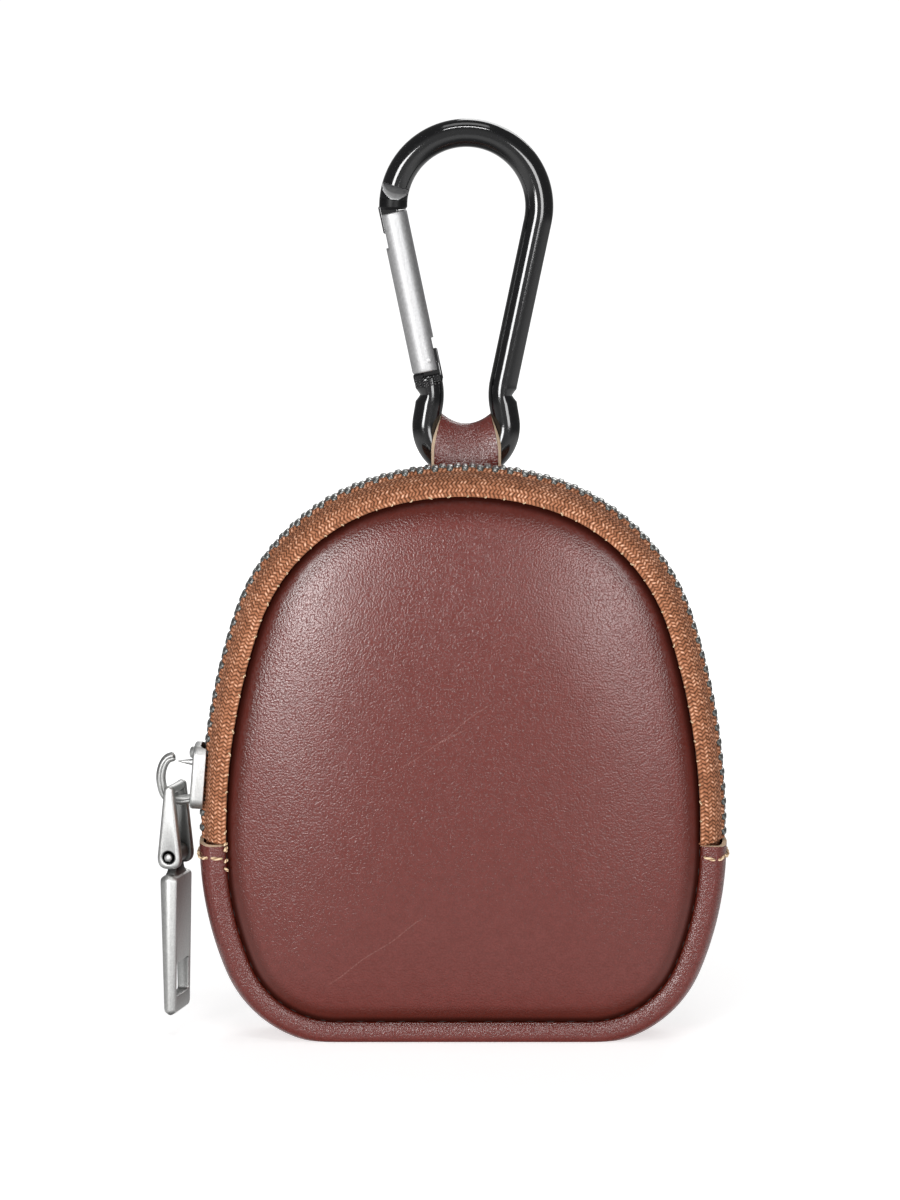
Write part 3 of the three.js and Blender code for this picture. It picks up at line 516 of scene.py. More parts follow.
# The zip's teeth. Each is a small cast block of dark plated metal, clamped on the tape's cord, with a
# narrower head that locks between two heads of the other row. The plating is worn bright on the tops,
# a pale that also stands in as painted highlight there.

TOOTH_PITCH = 2.42
SLIDER_TRAVEL = -73.880
TEETH_PARTED = 1.15  # how far the heads draw apart below the slider
TOOTH_STATIONS = np.array([  # depth, half width along the zip, outer inset, inner inset
    (3.05, 0.0, 1.1, 1.1),
    (3.05, 0.42, 0.62, 1.7),
    (2.75, 0.60, 0.22, 2.1),
    (1.75, 0.64, 0.06, 2.25),
    (0.95, 0.58, 0.06, 2.25),
    (0.35, 0.57, 0.12, 2.1),
    (-1.05, 0.57, 0.16, 2.0),
    (-1.35, 0.44, 0.45, 1.7),
    (-1.35, 0.0, 1.1, 1.1),
])
TOOTH_DARK = (0.050, 0.052, 0.048, 1)
TOOTH_WORN_AND_SHEEN = (0.44, 0.445, 0.43, 1)


def plated_metal(name):
    """Dark plating, rubbed through to pale metal where the worn value is high, a pale that on the tooth
    tops is also painted highlight.
    """
    material, start, shader = new_finish(name, {"Metallic": 1.0})
    speck = start.noise(start.place(0.4), detail=4.0, roughness=0.7)
    worn = (start.value("worn") + (speck - 0.5) * 0.9).ease(0.3, 0.9)
    link(shader, {
        "Base Color": worn.colour(TOOTH_DARK, TOOTH_WORN_AND_SHEEN),
        "Roughness": 0.26 + 0.16 * speck,
        "Normal": start.node("Bump", {}, {"Strength": 0.35, "Distance": 0.04 * MM, "Height": speck}),
    })
    return material


def teeth_mesh(name, side):
    """A stack of equal teeth, one at each pitch. At each station the section is a rounded square, and
    stations run from the clamped root to the head. Beyond the slider the rows are parted."""
    depth, half, outer, inner = TOOTH_STATIONS.T[:, None, :, None]
    angle = np.linspace(0, 2 * np.pi, 11)[None, None, :]
    square_a = np.sign(np.cos(angle)) * np.abs(np.cos(angle)) ** 0.6
    square_b = np.sign(np.sin(angle)) * np.abs(np.sin(angle)) ** 0.6
    first = -ZIP_END + 0.3 + 0.75 * TOOTH_PITCH + (0.0 if side < 0 else TOOTH_PITCH / 2)
    middle = np.arange(first, ZIP_END - 0.9, TOOTH_PITCH)[:, None, None]
    parted = np.where(middle < SLIDER_TRAVEL, TEETH_PARTED, 0.0)
    shift = parted * np.clip((2.0 - depth) / 2.0, 0, 1)
    inset = (outer + inner) / 2 + (outer - inner) / 2 * square_b + 0 * middle
    x, z, _, _ = outline(middle + half * square_a, inset)
    points = grid_points(x, side * (depth + shift) + 0 * x, z)
    # Paler toward each tooth's outer tip: wear, and painted highlight on the tops.
    worn = np.clip(1.15 - inset, 0, 1) * 1.2
    return make_mesh(name, dict(points=points, worn=worn), crease=50.0)


tooth_metal = plated_metal("plated_teeth")
for name, side in (("zip_teeth_front", -1), ("zip_teeth_back", 1)):
    fasten(teeth_mesh(name + "_cast", side), [tooth_metal], replaces=[name])

# The stitching. Dark thread holds the panels to the band all round, sunk in the seam, and is coloured
# near black as painted shade of the groove. A row of thicker cream thread is sewn across the band below
# each cut end of the gusset, ends of it show along the tape, and there are knots by the left end of the
# zip.

SEAM_THREAD = dict(radius=0.22, length=2.5, lift=-1.15)
TACK_THREAD = dict(radius=0.27, below=2.1, count=9, margin=0.8, gap=0.1, uneven=0.4)
PIP = dict(radius=0.13, rise=0.08, reach=0.2)
KNOT = dict(radius=0.24, rise=-0.1, reach=0.35)
KNOTS = np.array([-0.2, 0.7, 1.5, 3.1, 4.2])  # places below a cut end
# Each pair is the painted shade between the plies, then the thread's own colour along a ply.
DARK_THREAD_IN_SHADE = ((0.004, 0.0015, 0.001, 1), (0.012, 0.005, 0.003, 1))
CREAM_THREAD = ((0.30, 0.17, 0.09, 1), (0.83, 0.62, 0.40, 1))


def thread_finish(name, dark, pale):
    """Twisted sewing thread, pale along each ply and dark between the plies as painted shade."""
    material, start, shader = new_finish(name, {"Roughness": 0.7, "Specular IOR Level": 0.35})
    fuzz = start.noise(start.place(0.12), detail=3.0)
    shade = (start.value("ply") + (fuzz - 0.5) * 0.5).ease(0.05, 0.75)
    link(shader, {"Base Color": shade.colour(dark, pale)})
    return material


def stitches(start, finish, up, radius, sink):
    """A stack of stitches, each a thread of two twisted plies from start to finish, bowed up in the middle
    and sunk at both ends: round the thread the radius swells twice, and the swelling turns along it."""
    share = np.linspace(0, 1, 9)[None, :, None, None]
    angle = np.linspace(0, 2 * np.pi, 9)[None, None, :, None]
    start, finish, up = start[:, None, None, :], finish[:, None, None, :], up[:, None, None, :]
    run = finish - start
    run = run / np.linalg.norm(run, axis=-1, keepdims=True)
    sideways = np.cross(run, up)
    bow = np.sin(np.pi * share) ** 0.5 * (radius + sink) - sink
    ply = 0.5 + 0.5 * np.cos(2 * angle - 3.0 * np.pi * share)
    thick = radius * np.sin(np.pi * np.clip(share, 0.02, 0.98)) ** 0.25 * (0.8 + 0.28 * ply)
    thick = thick * ((share > 0) & (share < 1))
    points = start + (finish - start) * share + up * bow
    points = points + thick * (np.cos(angle) * sideways + np.sin(angle) * up)
    return dict(points=points, ply=np.broadcast_to(ply[..., 0], points.shape[:-1]))


def seam_stitches(side):
    """One stitch at every pitch round the seam, lying in the groove between the band and the panel."""
    middle = np.arange(-HALF_OUTLINE, HALF_OUTLINE - STITCH_PITCH / 2, STITCH_PITCH)
    ends = []
    for way in (-0.5, 0.5):
        x, z, _, _ = outline(middle + way * SEAM_THREAD["length"], SEAM_INSET)
        ends.append(grid_points(x, side * (SEAM_DEPTH + SEAM_THREAD["lift"]), z))
    up = np.zeros_like(ends[0])
    up[:, 1] = side
    return stitches(*ends, up, SEAM_THREAD["radius"], sink=0.3)


def band_face(along):
    """Depth and inset of the gusset's face at a distance along its section from the front seam."""
    return np.interp(along, face_along, face_depth), np.interp(along, face_along, face_inset)


def tack_stitches(end):
    """A row of stitches across the band below one cut end, from seam to seam, each leaning a little the
    other way. A stitch stands out at right angles to the stretch of the band's section that it crosses."""
    travel = end * (ZIP_END + TACK_THREAD["below"])
    count, gap = TACK_THREAD["count"], TACK_THREAD["gap"]
    place = np.linspace(TACK_THREAD["margin"], face_along[-1] - TACK_THREAD["margin"], count + 1)
    place = place + TACK_THREAD["uneven"] * (scatter(np.arange(count + 1), end) - 0.5)
    lean = (0.1 + 0.25 * scatter(place[:-1], end)) * (-1.0) ** np.arange(count)
    ends = []
    for cut, way in ((place[:-1] + gap, -1), (place[1:] - gap, 1)):
        depth, inset = band_face(cut)
        x, z, out_x, out_z = outline(travel + way * lean, inset)
        ends.append(grid_points(x, depth, z))
    low_depth, low_inset = band_face(place[:-1] + 2 * gap)
    high_depth, high_inset = band_face(place[1:] - 2 * gap)
    reach = high_depth - low_depth
    up = grid_points(out_x * reach, high_inset - low_inset, out_z * reach)
    up = up / np.linalg.norm(up, axis=1, keepdims=True)
    return stitches(*ends, up, TACK_THREAD["radius"], sink=0.12)


def seam_pips(middle, side, kind):
    """Ends of pale thread that cross the groove from the band to the panel, each aslant in its own way."""
    ends = []
    for way in (-1, 1):
        slip = 0.9 * way * (scatter(middle, side) - 0.5) + 0.8 * scatter(middle, side + 0.4)
        x, z, _, _ = outline(middle + slip, SEAM_INSET - 0.1 + way * kind["reach"])
        ends.append(grid_points(x, side * (SEAM_DEPTH + kind["rise"]), z))
    up = np.zeros_like(ends[0])
    up[:, 1] = side
    return stitches(*ends, up, kind["radius"], sink=0.05)


seam_thread = thread_finish("seam_thread", *DARK_THREAD_IN_SHADE)
cream_thread = thread_finish("cream_thread", *CREAM_THREAD)
seam_rows = make_mesh("seam_stitches", seam_stitches(-1), seam_stitches(1), crease=180.0)
fasten(seam_rows, [seam_thread])
pip_row = np.arange(-ZIP_END + 2.0, ZIP_END - 2.0, STITCH_PITCH)
tack_grids = [tack_stitches(-1), tack_stitches(1)]
for side in (-1, 1):
    for row, kind in ((pip_row, PIP), (-ZIP_END - KNOTS, KNOT)):
        tack_grids.append(seam_pips(row, side, kind))
tack_rows = make_mesh("tack_stitches", *tack_grids, crease=180.0)
fasten(tack_rows, [cream_thread])

# The zip's slider. A nickel casting: an outer plate with side flanges over the teeth, an inner plate, a
# post that joins them and an open crown that the pull hangs on.

SLIDER_PLATE = dict(half_long=5.1, half_low=4.2, half_high=3.8, under=0.3, top=1.42, flange=-0.75)
SLIDER_BACK = dict(inner=-3.6, outer=-2.65, shrink=0.78, bevel=0.2, bevel_inset=0.25)
SLIDER_POST = dict(half=0.8, low=-4.6, high=-2.8, inner=-3.0, outer=0.8)
CROWN_ROUTE = np.array([
    (0.9, -3.8), (3.2, -4.25), (5.4, -3.75), (6.35, -1.4), (6.3, 0.7), (5.6, 2.2), (4.3, 2.8),
])
CROWN_WIRE = dict(high=0.78, wide=1.0, groove=0.14)
SPIKE = ((0, 0.9), (0.62, 0.9), (0.5, 1.8), (0.28, 3.0), (0.1, 3.8), (0, 3.9))  # radius, place out
SPIKE_ALONG = 2.0
KNOB = ((0, 1.2), (0.9, 1.2), (1.0, 1.6), (0.8, 1.95), (0.4, 2.1), (0, 2.15))  # the same
KNOB_ALONG = 3.6
NICKEL_DARK_AND_SHADE = (0.03, 0.03, 0.029, 1)
NICKEL_PALE = (0.97, 0.97, 0.955, 1)

slider_x, slider_z, slider_out_x, slider_out_z = (float(v) for v in outline(SLIDER_TRAVEL, 0.0))
SLIDER_OUT = np.array([slider_out_x, 0.0, slider_out_z])
SLIDER_UP = np.array([slider_out_z, 0.0, -slider_out_x])
SLIDER_PLACE = np.array([slider_x, 0.0, slider_z])


def on_slider(out, across, along):
    """Points given out from the pouch, across the zip and up along it, put in their place."""
    out, across, along = (np.asarray(v, float)[..., None] for v in np.broadcast_arrays(out, across, along))
    return SLIDER_PLACE + out * SLIDER_OUT + across * np.array([0.0, 1.0, 0.0]) + along * SLIDER_UP


def old_nickel(name):
    """Antique nickel: bright on the open faces and dark in the recesses, partly its patina and partly
    painted shade, with fine scratches.
    """
    material, start, shader = new_finish(name, {"Metallic": 1.0})
    cloud = start.noise(start.place(1.6), detail=4.0, roughness=0.65)
    lines = start.noise(start.place(0.5, stretch=(1, 1, 0.08)), detail=3.0)
    recess_patina_and_shade = start.value("recess_patina_and_shade")
    # Open faces are bright and recesses darkened: partly patina, partly painted shade.
    bright = (1 - recess_patina_and_shade) * (0.72 + 0.4 * (cloud - 0.5) + 0.25 * (lines - 0.5))
    bump = {"Strength": 0.25, "Distance": 0.05 * MM, "Height": cloud + lines}
    link(shader, {
        "Base Color": bright.colour(NICKEL_DARK_AND_SHADE, NICKEL_PALE),
        "Roughness": 0.32 + 0.2 * cloud + 0.1 * lines,
        "Normal": start.node("Bump", {}, bump),
    })
    return material


def smooth_route(points, count):
    """A curve through the points with even steps of its own parameter, each stretch a cubic whose slope at
    a point is half the way from the point before to the point after."""
    before, after = 2 * points[0] - points[1], 2 * points[-1] - points[-2]
    padded = np.concatenate([[before], points, [after]])
    place = np.linspace(0, len(points) - 1, count)
    stretch = np.minimum(place.astype(int), len(points) - 2)
    share = (place - stretch)[:, None]
    p0, p1, p2, p3 = (padded[stretch + k] for k in range(4))
    bend = 2 * p0 - 5 * p1 + 4 * p2 - p3 + share * (3 * p1 - p0 - 3 * p2 + p3)
    return p1 + share / 2 * (p2 - p0 + share * bend)


def plate_loop(shrink, inset, corner=1.8, per_corner=8):
    """Outline of a slider plate, wide at the low end and narrow at the high end, with round corners."""
    loop = []
    high, low = SLIDER_PLATE["half_high"] * shrink, SLIDER_PLATE["half_low"] * shrink
    long = SLIDER_PLATE["half_long"] - inset
    corners = ((high, long, 0), (-high, long, 90), (-low, -long, 180), (low, -long, 270))
    for across, along, begin in corners:
        angle = np.radians(np.linspace(begin, begin + 90, per_corner))
        round_by = max(corner - inset, 0.3)
        middle_across = across - np.sign(across) * (inset + round_by)
        middle = np.array([middle_across, along - np.sign(along) * round_by])
        loop.append(middle + round_by * np.stack([np.cos(angle), np.sin(angle)], -1))
    loop.append(loop[0][:1])
    return np.concatenate(loop)


def slider_plate():
    """The outer plate: its outline rises from the flange, rounds over the edge and closes on the top, and
    underneath it turns in by the flange's width and closes under the plate. The flange stands only at
    the two sides, so its foot is lifted to the plate where the teeth pass in and out."""
    rows = np.array([  # inset, out, recess_patina_and_shade, share of the flange's depth
        (3.4, 0.3, 1.0, 0.0), (0.85, 0.3, 1.0, 0.0), (0.85, 0.3, 1.0, 1.0), (0.6, 0.3, 0.7, 1.0),
        (0.12, 0.3, 0.3, 1.0), (0.0, 0.3, 0.0, 0.9), (0.0, 0.55, 0.0, 0.0), (0.0, 1.0, 0.0, 0.0),
        (0.15, 1.28, 0.0, 0.0), (0.45, 1.42, 0.0, 0.0), (0.8, 1.45, 0.05, 0.0), (1.0, 1.36, 0.35, 0.0),
        (1.25, 1.36, 0.2, 0.0), (3.4, 1.4, 0.0, 0.0),
    ])
    loops = np.stack([plate_loop(1.0, inset) for inset in rows[:, 0]])
    across, along = loops[..., 0], loops[..., 1]
    at_side = np.clip((np.abs(across) - 2.6) / 0.5, 0, 1)
    drop = (SLIDER_PLATE["under"] - SLIDER_PLATE["flange"]) * rows[:, 3][:, None] * at_side
    points = on_slider(rows[:, 1][:, None] - drop, across, along)
    ends = []
    for row, out in ((0, SLIDER_PLATE["under"]), (-1, SLIDER_PLATE["top"])):
        ends.append(on_slider(out, 0.0, along[row] * 0.5)[None])
    points = np.concatenate([ends[0], points, ends[1]])
    recess_patina_and_shade = np.concatenate([[1.0], rows[:, 2], [0.0]])[:, None]
    return dict(points=points, recess_patina_and_shade=recess_patina_and_shade)


def crown_wire():
    """The crown: an oval section with a groove along each side, carried along the crown's route."""
    line = smooth_route(CROWN_ROUTE, 48)
    run = np.gradient(line, axis=0)
    run = run / np.linalg.norm(run, axis=1, keepdims=True)
    angle = np.linspace(0, 2 * np.pi, 33)[None, :]
    groove = CROWN_WIRE["groove"] * np.exp(-((np.cos(angle) / 0.22) ** 2))
    taper = np.ones((len(line), 1))
    taper[[0, -1]] = 0.0
    taper[[1, -2]] = 0.8
    high = CROWN_WIRE["high"] * np.cos(angle) * taper
    wide = (CROWN_WIRE["wide"] * np.sin(angle) - np.sign(np.sin(angle)) * groove) * taper
    out = line[:, :1] - run[:, 1:] * high
    along = line[:, 1:] + run[:, :1] * high
    # Darker in the crown's side grooves: painted shade.
    recess_patina_and_shade = np.clip(groove / CROWN_WIRE["groove"], 0, 1) * 0.7
    return dict(points=on_slider(out, wide, along), recess_patina_and_shade=recess_patina_and_shade)


def turned(profile, centre_along, sides=17):
    """A round piece turned about a line that points out from the pouch: radius against place."""
    radius, out = np.asarray(profile, float).T
    angle = np.linspace(0, 2 * np.pi, sides)[None, :]
    across = radius[:, None] * np.cos(angle)
    along = centre_along + radius[:, None] * np.sin(angle)
    return dict(points=on_slider(out[:, None], across, along))


def slab(loop_of, rows):
    """A closed slab: the outline at each row's inset and place, with its ends drawn in to a point."""
    loops = np.stack([loop_of(inset) for inset, _ in rows])
    out = np.array([place for _, place in rows])[:, None]
    middle = loops.mean(axis=1, keepdims=True)
    closed = np.concatenate([0 * loops[:1] + middle[:1], loops, 0 * loops[-1:] + middle[-1:]])
    out = np.concatenate([out[:1], out, out[-1:]])
    # The slab is darkened all over: painted shade between the slider's plates.
    return dict(points=on_slider(out, closed[..., 0], closed[..., 1]), recess_patina_and_shade=0.8)


nickel = old_nickel("old_nickel")
spike = turned(SPIKE, SPIKE_ALONG)
knob = turned(KNOB, KNOB_ALONG)
back_in, back_out = SLIDER_BACK["inner"], SLIDER_BACK["outer"]
back_rows = [  # inset, place out
    (SLIDER_BACK["bevel_inset"], back_in),
    (0.0, back_in + SLIDER_BACK["bevel"]),
    (0.0, back_out - SLIDER_BACK["bevel"]),
    (SLIDER_BACK["bevel_inset"], back_out),
]
back_plate = slab(lambda inset: plate_loop(SLIDER_BACK["shrink"], inset), back_rows)
post_half, post_low, post_high = SLIDER_POST["half"], SLIDER_POST["low"], SLIDER_POST["high"]
post_right = [(post_half, post_low), (post_half, post_high)]
post_left = [(-post_half, post_high), (-post_half, post_low)]
post_loop = np.array(post_right[1:] + post_left + post_right)
post = slab(lambda inset: post_loop, [(0, SLIDER_POST["inner"]), (0, SLIDER_POST["outer"])])
slider_parts = [slider_plate(), crown_wire(), spike, knob, back_plate, post]
slider = make_mesh("slider_casting", *slider_parts, crease=35.0)
fasten(slider, [nickel], replaces=["zip_slider"])

# The zip pull. A cast stirrup hangs on the crown, a rivet goes through its two feet, and a thick tab
# with a window hangs on the rivet between them. All are the same antique nickel.

PULL_SEAT = dict(out=4.0, along=-2.35)
PULL_TWIST = math.radians(-14)
LINK = dict(half=4.0, leg=1.5, bar=0.75, top=0.8, foot=1.95, drop=10.7)
RIVET_HOLE = 0.95
TAB = dict(half=4.5, top=-2.9, bottom=-25.8, thick_top=2.8, thick_bottom=1.8, corner=1.0)
WINDOW = dict(half=3.1, top=-17.4, bottom=-22.8, corner=0.45)
KNUCKLE = dict(radius=1.5, half=2.15)
PULL_PLACE = SLIDER_PLACE + PULL_SEAT["out"] * SLIDER_OUT + PULL_SEAT["along"] * SLIDER_UP


def on_pull(thick, across, height):
    """Points given through the pull's thickness, along its crossbar and up, put in their place."""
    x = thick * math.cos(PULL_TWIST) - across * math.sin(PULL_TWIST)
    y = thick * math.sin(PULL_TWIST) + across * math.cos(PULL_TWIST)
    return grid_points(x, y, height) + PULL_PLACE


def leg_loop(inset):
    """A stirrup leg's outline, a small arc at the crossbar and a squarer round about the rivet."""
    low = np.linspace(np.pi, 2 * np.pi, 25)
    high = np.linspace(0, np.pi, 17)
    foot, top = LINK["foot"] - inset, LINK["top"] - inset * 0.8
    square = np.sign(np.cos(low)) * np.abs(np.cos(low)) ** 0.7
    thick = np.concatenate([foot * square, top * np.cos(high), [-foot]])
    low_height = -foot * np.abs(np.sin(low)) ** 0.7 - LINK["drop"]
    height = np.concatenate([low_height, top * np.sin(high), [-LINK["drop"]]])
    return thick, height


def hole_loop(radius):
    """The rivet hole's outline with as many points as the leg's."""
    angle = np.concatenate([np.linspace(np.pi, 2 * np.pi, 25), np.linspace(0, np.pi, 17), [np.pi]])
    return radius * np.cos(angle), radius * np.sin(angle) - LINK["drop"]


def stirrup_leg(side):
    """A leg as a ring round its rivet hole: out over the outer face, round the edge and back inside."""
    near, far = LINK["half"], LINK["half"] - LINK["leg"]
    rows = [  # outline, place across, recess_patina_and_shade
        (hole_loop(RIVET_HOLE), far, 0.8),
        (hole_loop(RIVET_HOLE), near - 0.25, 0.9),
        (hole_loop(RIVET_HOLE + 0.12), near - 0.05, 0.6),
        (hole_loop(RIVET_HOLE + 0.3), near, 0.1),
        (leg_loop(0.55), near, 0.0),
        (leg_loop(0.25), near - 0.1, 0.0),
        (leg_loop(0.07), near - 0.28, 0.0),
        (leg_loop(0.0), near - 0.5, 0.05),
        (leg_loop(0.0), far + 0.3, 0.3),
        (leg_loop(0.12), far + 0.08, 0.5),
        (leg_loop(0.35), far, 0.6),
        (hole_loop(RIVET_HOLE), far, 0.8),
    ]
    thick = np.stack([loop[0] for loop, _, _ in rows])
    height = np.stack([loop[1] for loop, _, _ in rows])
    across = side * np.array([place for _, place, _ in rows])[:, None]
    recess_patina_and_shade = np.array([dark for _, _, dark in rows])[:, None]
    return dict(points=on_pull(thick, across + 0 * thick, height), recess_patina_and_shade=recess_patina_and_shade)


def turned_across(profile, height, sides=25):
    """A round piece turned about a line along the crossbar: radius, place and recess_patina_and_shade."""
    radius, across, recess_patina_and_shade = np.asarray(profile, float).T
    angle = np.linspace(0, 2 * np.pi, sides)[None, :]
    thick = radius[:, None] * np.cos(angle)
    up = height + radius[:, None] * np.sin(angle)
    return dict(points=on_pull(thick, across[:, None] + 0 * thick, up), recess_patina_and_shade=recess_patina_and_shade[:, None])


def box_loop(half, low, high, corner, per_corner=7):
    """A rounded rectangle drawn across and up, from corner to corner."""
    across, up = [], []
    for way_x, way_z, begin in ((1, 1, 0), (-1, 1, 90), (-1, -1, 180), (1, -1, 270)):
        angle = np.radians(np.linspace(begin, begin + 90, per_corner))
        across.append(way_x * (half - corner) + corner * np.cos(angle))
        up.append((high - corner if way_z > 0 else low + corner) + corner * np.sin(angle))
    across.append(across[0][:1])
    up.append(up[0][:1])
    return np.concatenate(across), np.concatenate(up)


def tab_plate():
    """The tab as a ring round its window. Its outer edge rises to a ridge along the middle, its faces are
    flat, and its thickness tapers evenly from the shoulders to the foot."""
    def outer(inset):
        corner = TAB["corner"] - inset * 0.6
        return box_loop(TAB["half"] - inset, TAB["bottom"] + inset, TAB["top"] - inset, corner)

    def window(inset):
        low, high = WINDOW["bottom"] - inset, WINDOW["top"] + inset
        return box_loop(WINDOW["half"] + inset, low, high, WINDOW["corner"])

    near_rows = [  # outline, share of the half thickness, recess_patina_and_shade
        (outer(0.0), 0.0, 0.0),
        (outer(0.06), 0.3, 0.0),
        (outer(0.35), 0.85, 0.0),
        (outer(0.55), 1.0, 0.0),
        (window(0.3), 1.0, 0.05),
        (window(0.1), 0.92, 0.1),
        (window(0.0), 0.7, 0.4),
    ]
    rows = near_rows + [(loop, -part, dark) for loop, part, dark in near_rows[::-1]]
    across = np.stack([loop[0] for loop, _, _ in rows])
    up = np.stack([loop[1] for loop, _, _ in rows])
    share = (up - TAB["bottom"]) / (TAB["top"] - TAB["bottom"])
    half = (TAB["thick_bottom"] + (TAB["thick_top"] - TAB["thick_bottom"]) * share) / 2
    thick = half * np.array([part for _, part, _ in rows])[:, None]
    recess_patina_and_shade = np.array([dark for _, _, dark in rows])[:, None]
    return dict(points=on_pull(thick, across, up - LINK["drop"]), recess_patina_and_shade=recess_patina_and_shade)


def tab_neck():
    """The neck between the knuckle and the plate: a rounded oblong that widens into the shoulders."""
    rows = np.array([  # height, half thickness, half width, recess_patina_and_shade
        (-0.9, 0.0, 0.0, 1.0), (-0.9, 0.85, 2.0, 1.0), (-2.0, 0.9, 2.1, 1.0), (-2.6, 0.95, 2.4, 0.8),
        (-3.1, 1.1, 3.0, 0.5), (-3.6, 1.2, 3.2, 0.2), (-3.6, 0.0, 0.0, 0.2),
    ])
    angle = np.linspace(0, 2 * np.pi, 33)[None, :]
    thick = rows[:, 1:2] * np.sign(np.cos(angle)) * np.abs(np.cos(angle)) ** 0.5
    across = rows[:, 2:3] * np.sign(np.sin(angle)) * np.abs(np.sin(angle)) ** 0.5
    return dict(points=on_pull(thick, across, rows[:, :1] - LINK["drop"] + 0 * thick), recess_patina_and_shade=rows[:, 3:])


bar_end = LINK["half"] - LINK["leg"] / 2
bar_rows = [(0, -bar_end, 0), (LINK["bar"], -bar_end, 0), (LINK["bar"], bar_end, 0), (0, bar_end, 0)]
crossbar = turned_across(bar_rows, 0)
stirrup = make_mesh("pull_stirrup", stirrup_leg(-1), stirrup_leg(1), crossbar, crease=50.0)
fasten(stirrup, [nickel], body="link", replaces=["pull_link"])
half_rivet = [  # radius, place, recess_patina_and_shade
    (0.0, 4.45, 0.0), (0.3, 4.43, 0.0), (0.52, 4.34, 0.05),
    (0.62, 4.2, 0.3), (0.66, 4.02, 0.9), (0.7, 3.8, 1.0),
]
whole_rivet = half_rivet + [(radius, -place, dark) for radius, place, dark in half_rivet[::-1]]
rivet = make_mesh("pull_rivet", turned_across(whole_rivet, -LINK["drop"]), crease=50.0)
fasten(rivet, [nickel], body="link", replaces=["pull_pin"])
half_knuckle = [  # radius, place, recess_patina_and_shade
    (RIVET_HOLE + 0.05, KNUCKLE["half"], 1),
    (KNUCKLE["radius"] - 0.2, KNUCKLE["half"], 1),
    (KNUCKLE["radius"], KNUCKLE["half"] - 0.2, 0.7),
]
far_knuckle = [(radius, -place, dark) for radius, place, dark in half_knuckle]
knuckle = turned_across(far_knuckle + half_knuckle[::-1] + far_knuckle[:1], -LINK["drop"])
tab = make_mesh("pull_plate", tab_plate(), tab_neck(), knuckle, crease=30.0)
fasten(tab, [nickel], body="tab", replaces=["pull_tab"])

# The snap hook. A black enamelled bar is bent into a big loop, a waist and a small eye. Its ends are
# milled to a nose and a hinge tongue, and a slotted tube of bare metal, on a pin, is the sprung gate.

BAR = 4.5
EYE_RADIUS = 6.45
TOP_RADIUS = 11.7
WAIST_HALF = 5.65
WAIST_UP = 5.3
TOP_UP = 35.3
WAIST_BEND = 1.9
HOOK_PLACE = np.array([0.5, 10.9, 97.35])  # the eye's centre
GATE = dict(low=3.6, high=29.7, slot=1.3, nose_slot=24.2, hinge_slot=8.8, wall=0.8)
GATE_PIVOT = dict(up=5.4, inward=0.6)
NOSE_GAP = 0.45
NOSE = dict(collar=1.55, mill=2.2, depth=2.2)
PINCH = dict(share=0.3, reach=1.3)
HINGE_FROM = 2.9
TONGUE_HALF = 0.78
HINGE_HALF = 2.05
HOOK_BLOCKS = {  # low and high corner across, through and up the gate's side, and the finish
    "hinge_tongue": ((-1.0, -TONGUE_HALF, 1.9), (2.45, TONGUE_HALF, 5.4), 0),
    "gate_stop": ((1.45, -TONGUE_HALF, 4.5), (2.45, TONGUE_HALF, 7.0), 0),
    "nose_tongue": ((-2.15, -TONGUE_HALF, 26.6), (0.95, TONGUE_HALF, 31.0), 0),
    "hinge_outside": ((-2.25, -HINGE_HALF, 2.2), (-0.5, HINGE_HALF, 3.45), 2),
    "hinge_inside": ((-0.6, -HINGE_HALF, 1.6), (2.3, HINGE_HALF, 2.9), 2),
}
KNURL = dict(across=(-1.9, 1.6, 7), up=(1.5, 2.7, 4), radius=0.2, rise=0.16, face=1.9)
HALF_PIN = np.array([(0, 2.2), (0.4, 2.18), (0.58, 2.05), (0.6, 1.9)])  # radius, place through the gate
ENAMEL_BLACK = (0.0035, 0.0035, 0.004, 1)
ENAMEL_RUBBED = (0.012, 0.012, 0.013, 1)
BARE_DULL = (0.58, 0.58, 0.585, 1)
BARE_BRIGHT = (0.80, 0.80, 0.805, 1)

side_span = math.hypot(WAIST_HALF, TOP_UP - WAIST_UP)
SIDE_LEAN = math.asin(TOP_RADIUS / side_span) - math.atan(WAIST_HALF / (TOP_UP - WAIST_UP))
SIDE_LONG = math.sqrt(side_span**2 - TOP_RADIUS**2)
EYE_TOUCH = math.atan2(WAIST_UP, WAIST_HALF) - math.acos(EYE_RADIUS / math.hypot(WAIST_HALF, WAIST_UP))


def black_enamel(name, dull=0.09, gloss=1.0):
    """Black enamel with a faint orange-peel and a few dull rubs, glossy unless it is worn dull."""
    material, start, shader = new_finish(name, {"Specular IOR Level": gloss, "IOR": 1.52})
    peel = start.noise(start.place(1.2), detail=2.0)
    rub = start.noise(start.place(3.5), detail=5.0, roughness=0.7).ease(0.55, 0.8)
    link(shader, {
        "Base Color": rub.colour(ENAMEL_BLACK, ENAMEL_RUBBED),
        "Roughness": dull + 0.12 * rub,
        "Normal": start.node("Bump", {}, {"Strength": 0.05, "Distance": 0.06 * MM, "Height": peel}),
    })
    return material


def bare_metal(name):
    """Bare drawn aluminium: fine lines along the bar and dull patches."""
    material, start, shader = new_finish(name, {"Metallic": 1.0})
    lines = start.noise(start.place(0.35, turn=(0, -SIDE_LEAN, 0), stretch=(1, 1, 0.03)), detail=3.0)
    dull = start.noise(start.place(2.4), detail=4.0)
    bright = (lines * 0.5 + dull * 0.5).ease(0.25, 0.75)
    link(shader, {
        "Base Color": bright.colour(BARE_DULL, BARE_BRIGHT),
        "Roughness": 0.48 + 0.12 * dull,
        "Normal": start.node("Bump", {}, {"Strength": 0.15, "Distance": 0.03 * MM, "Height": lines}),
    })
    return material


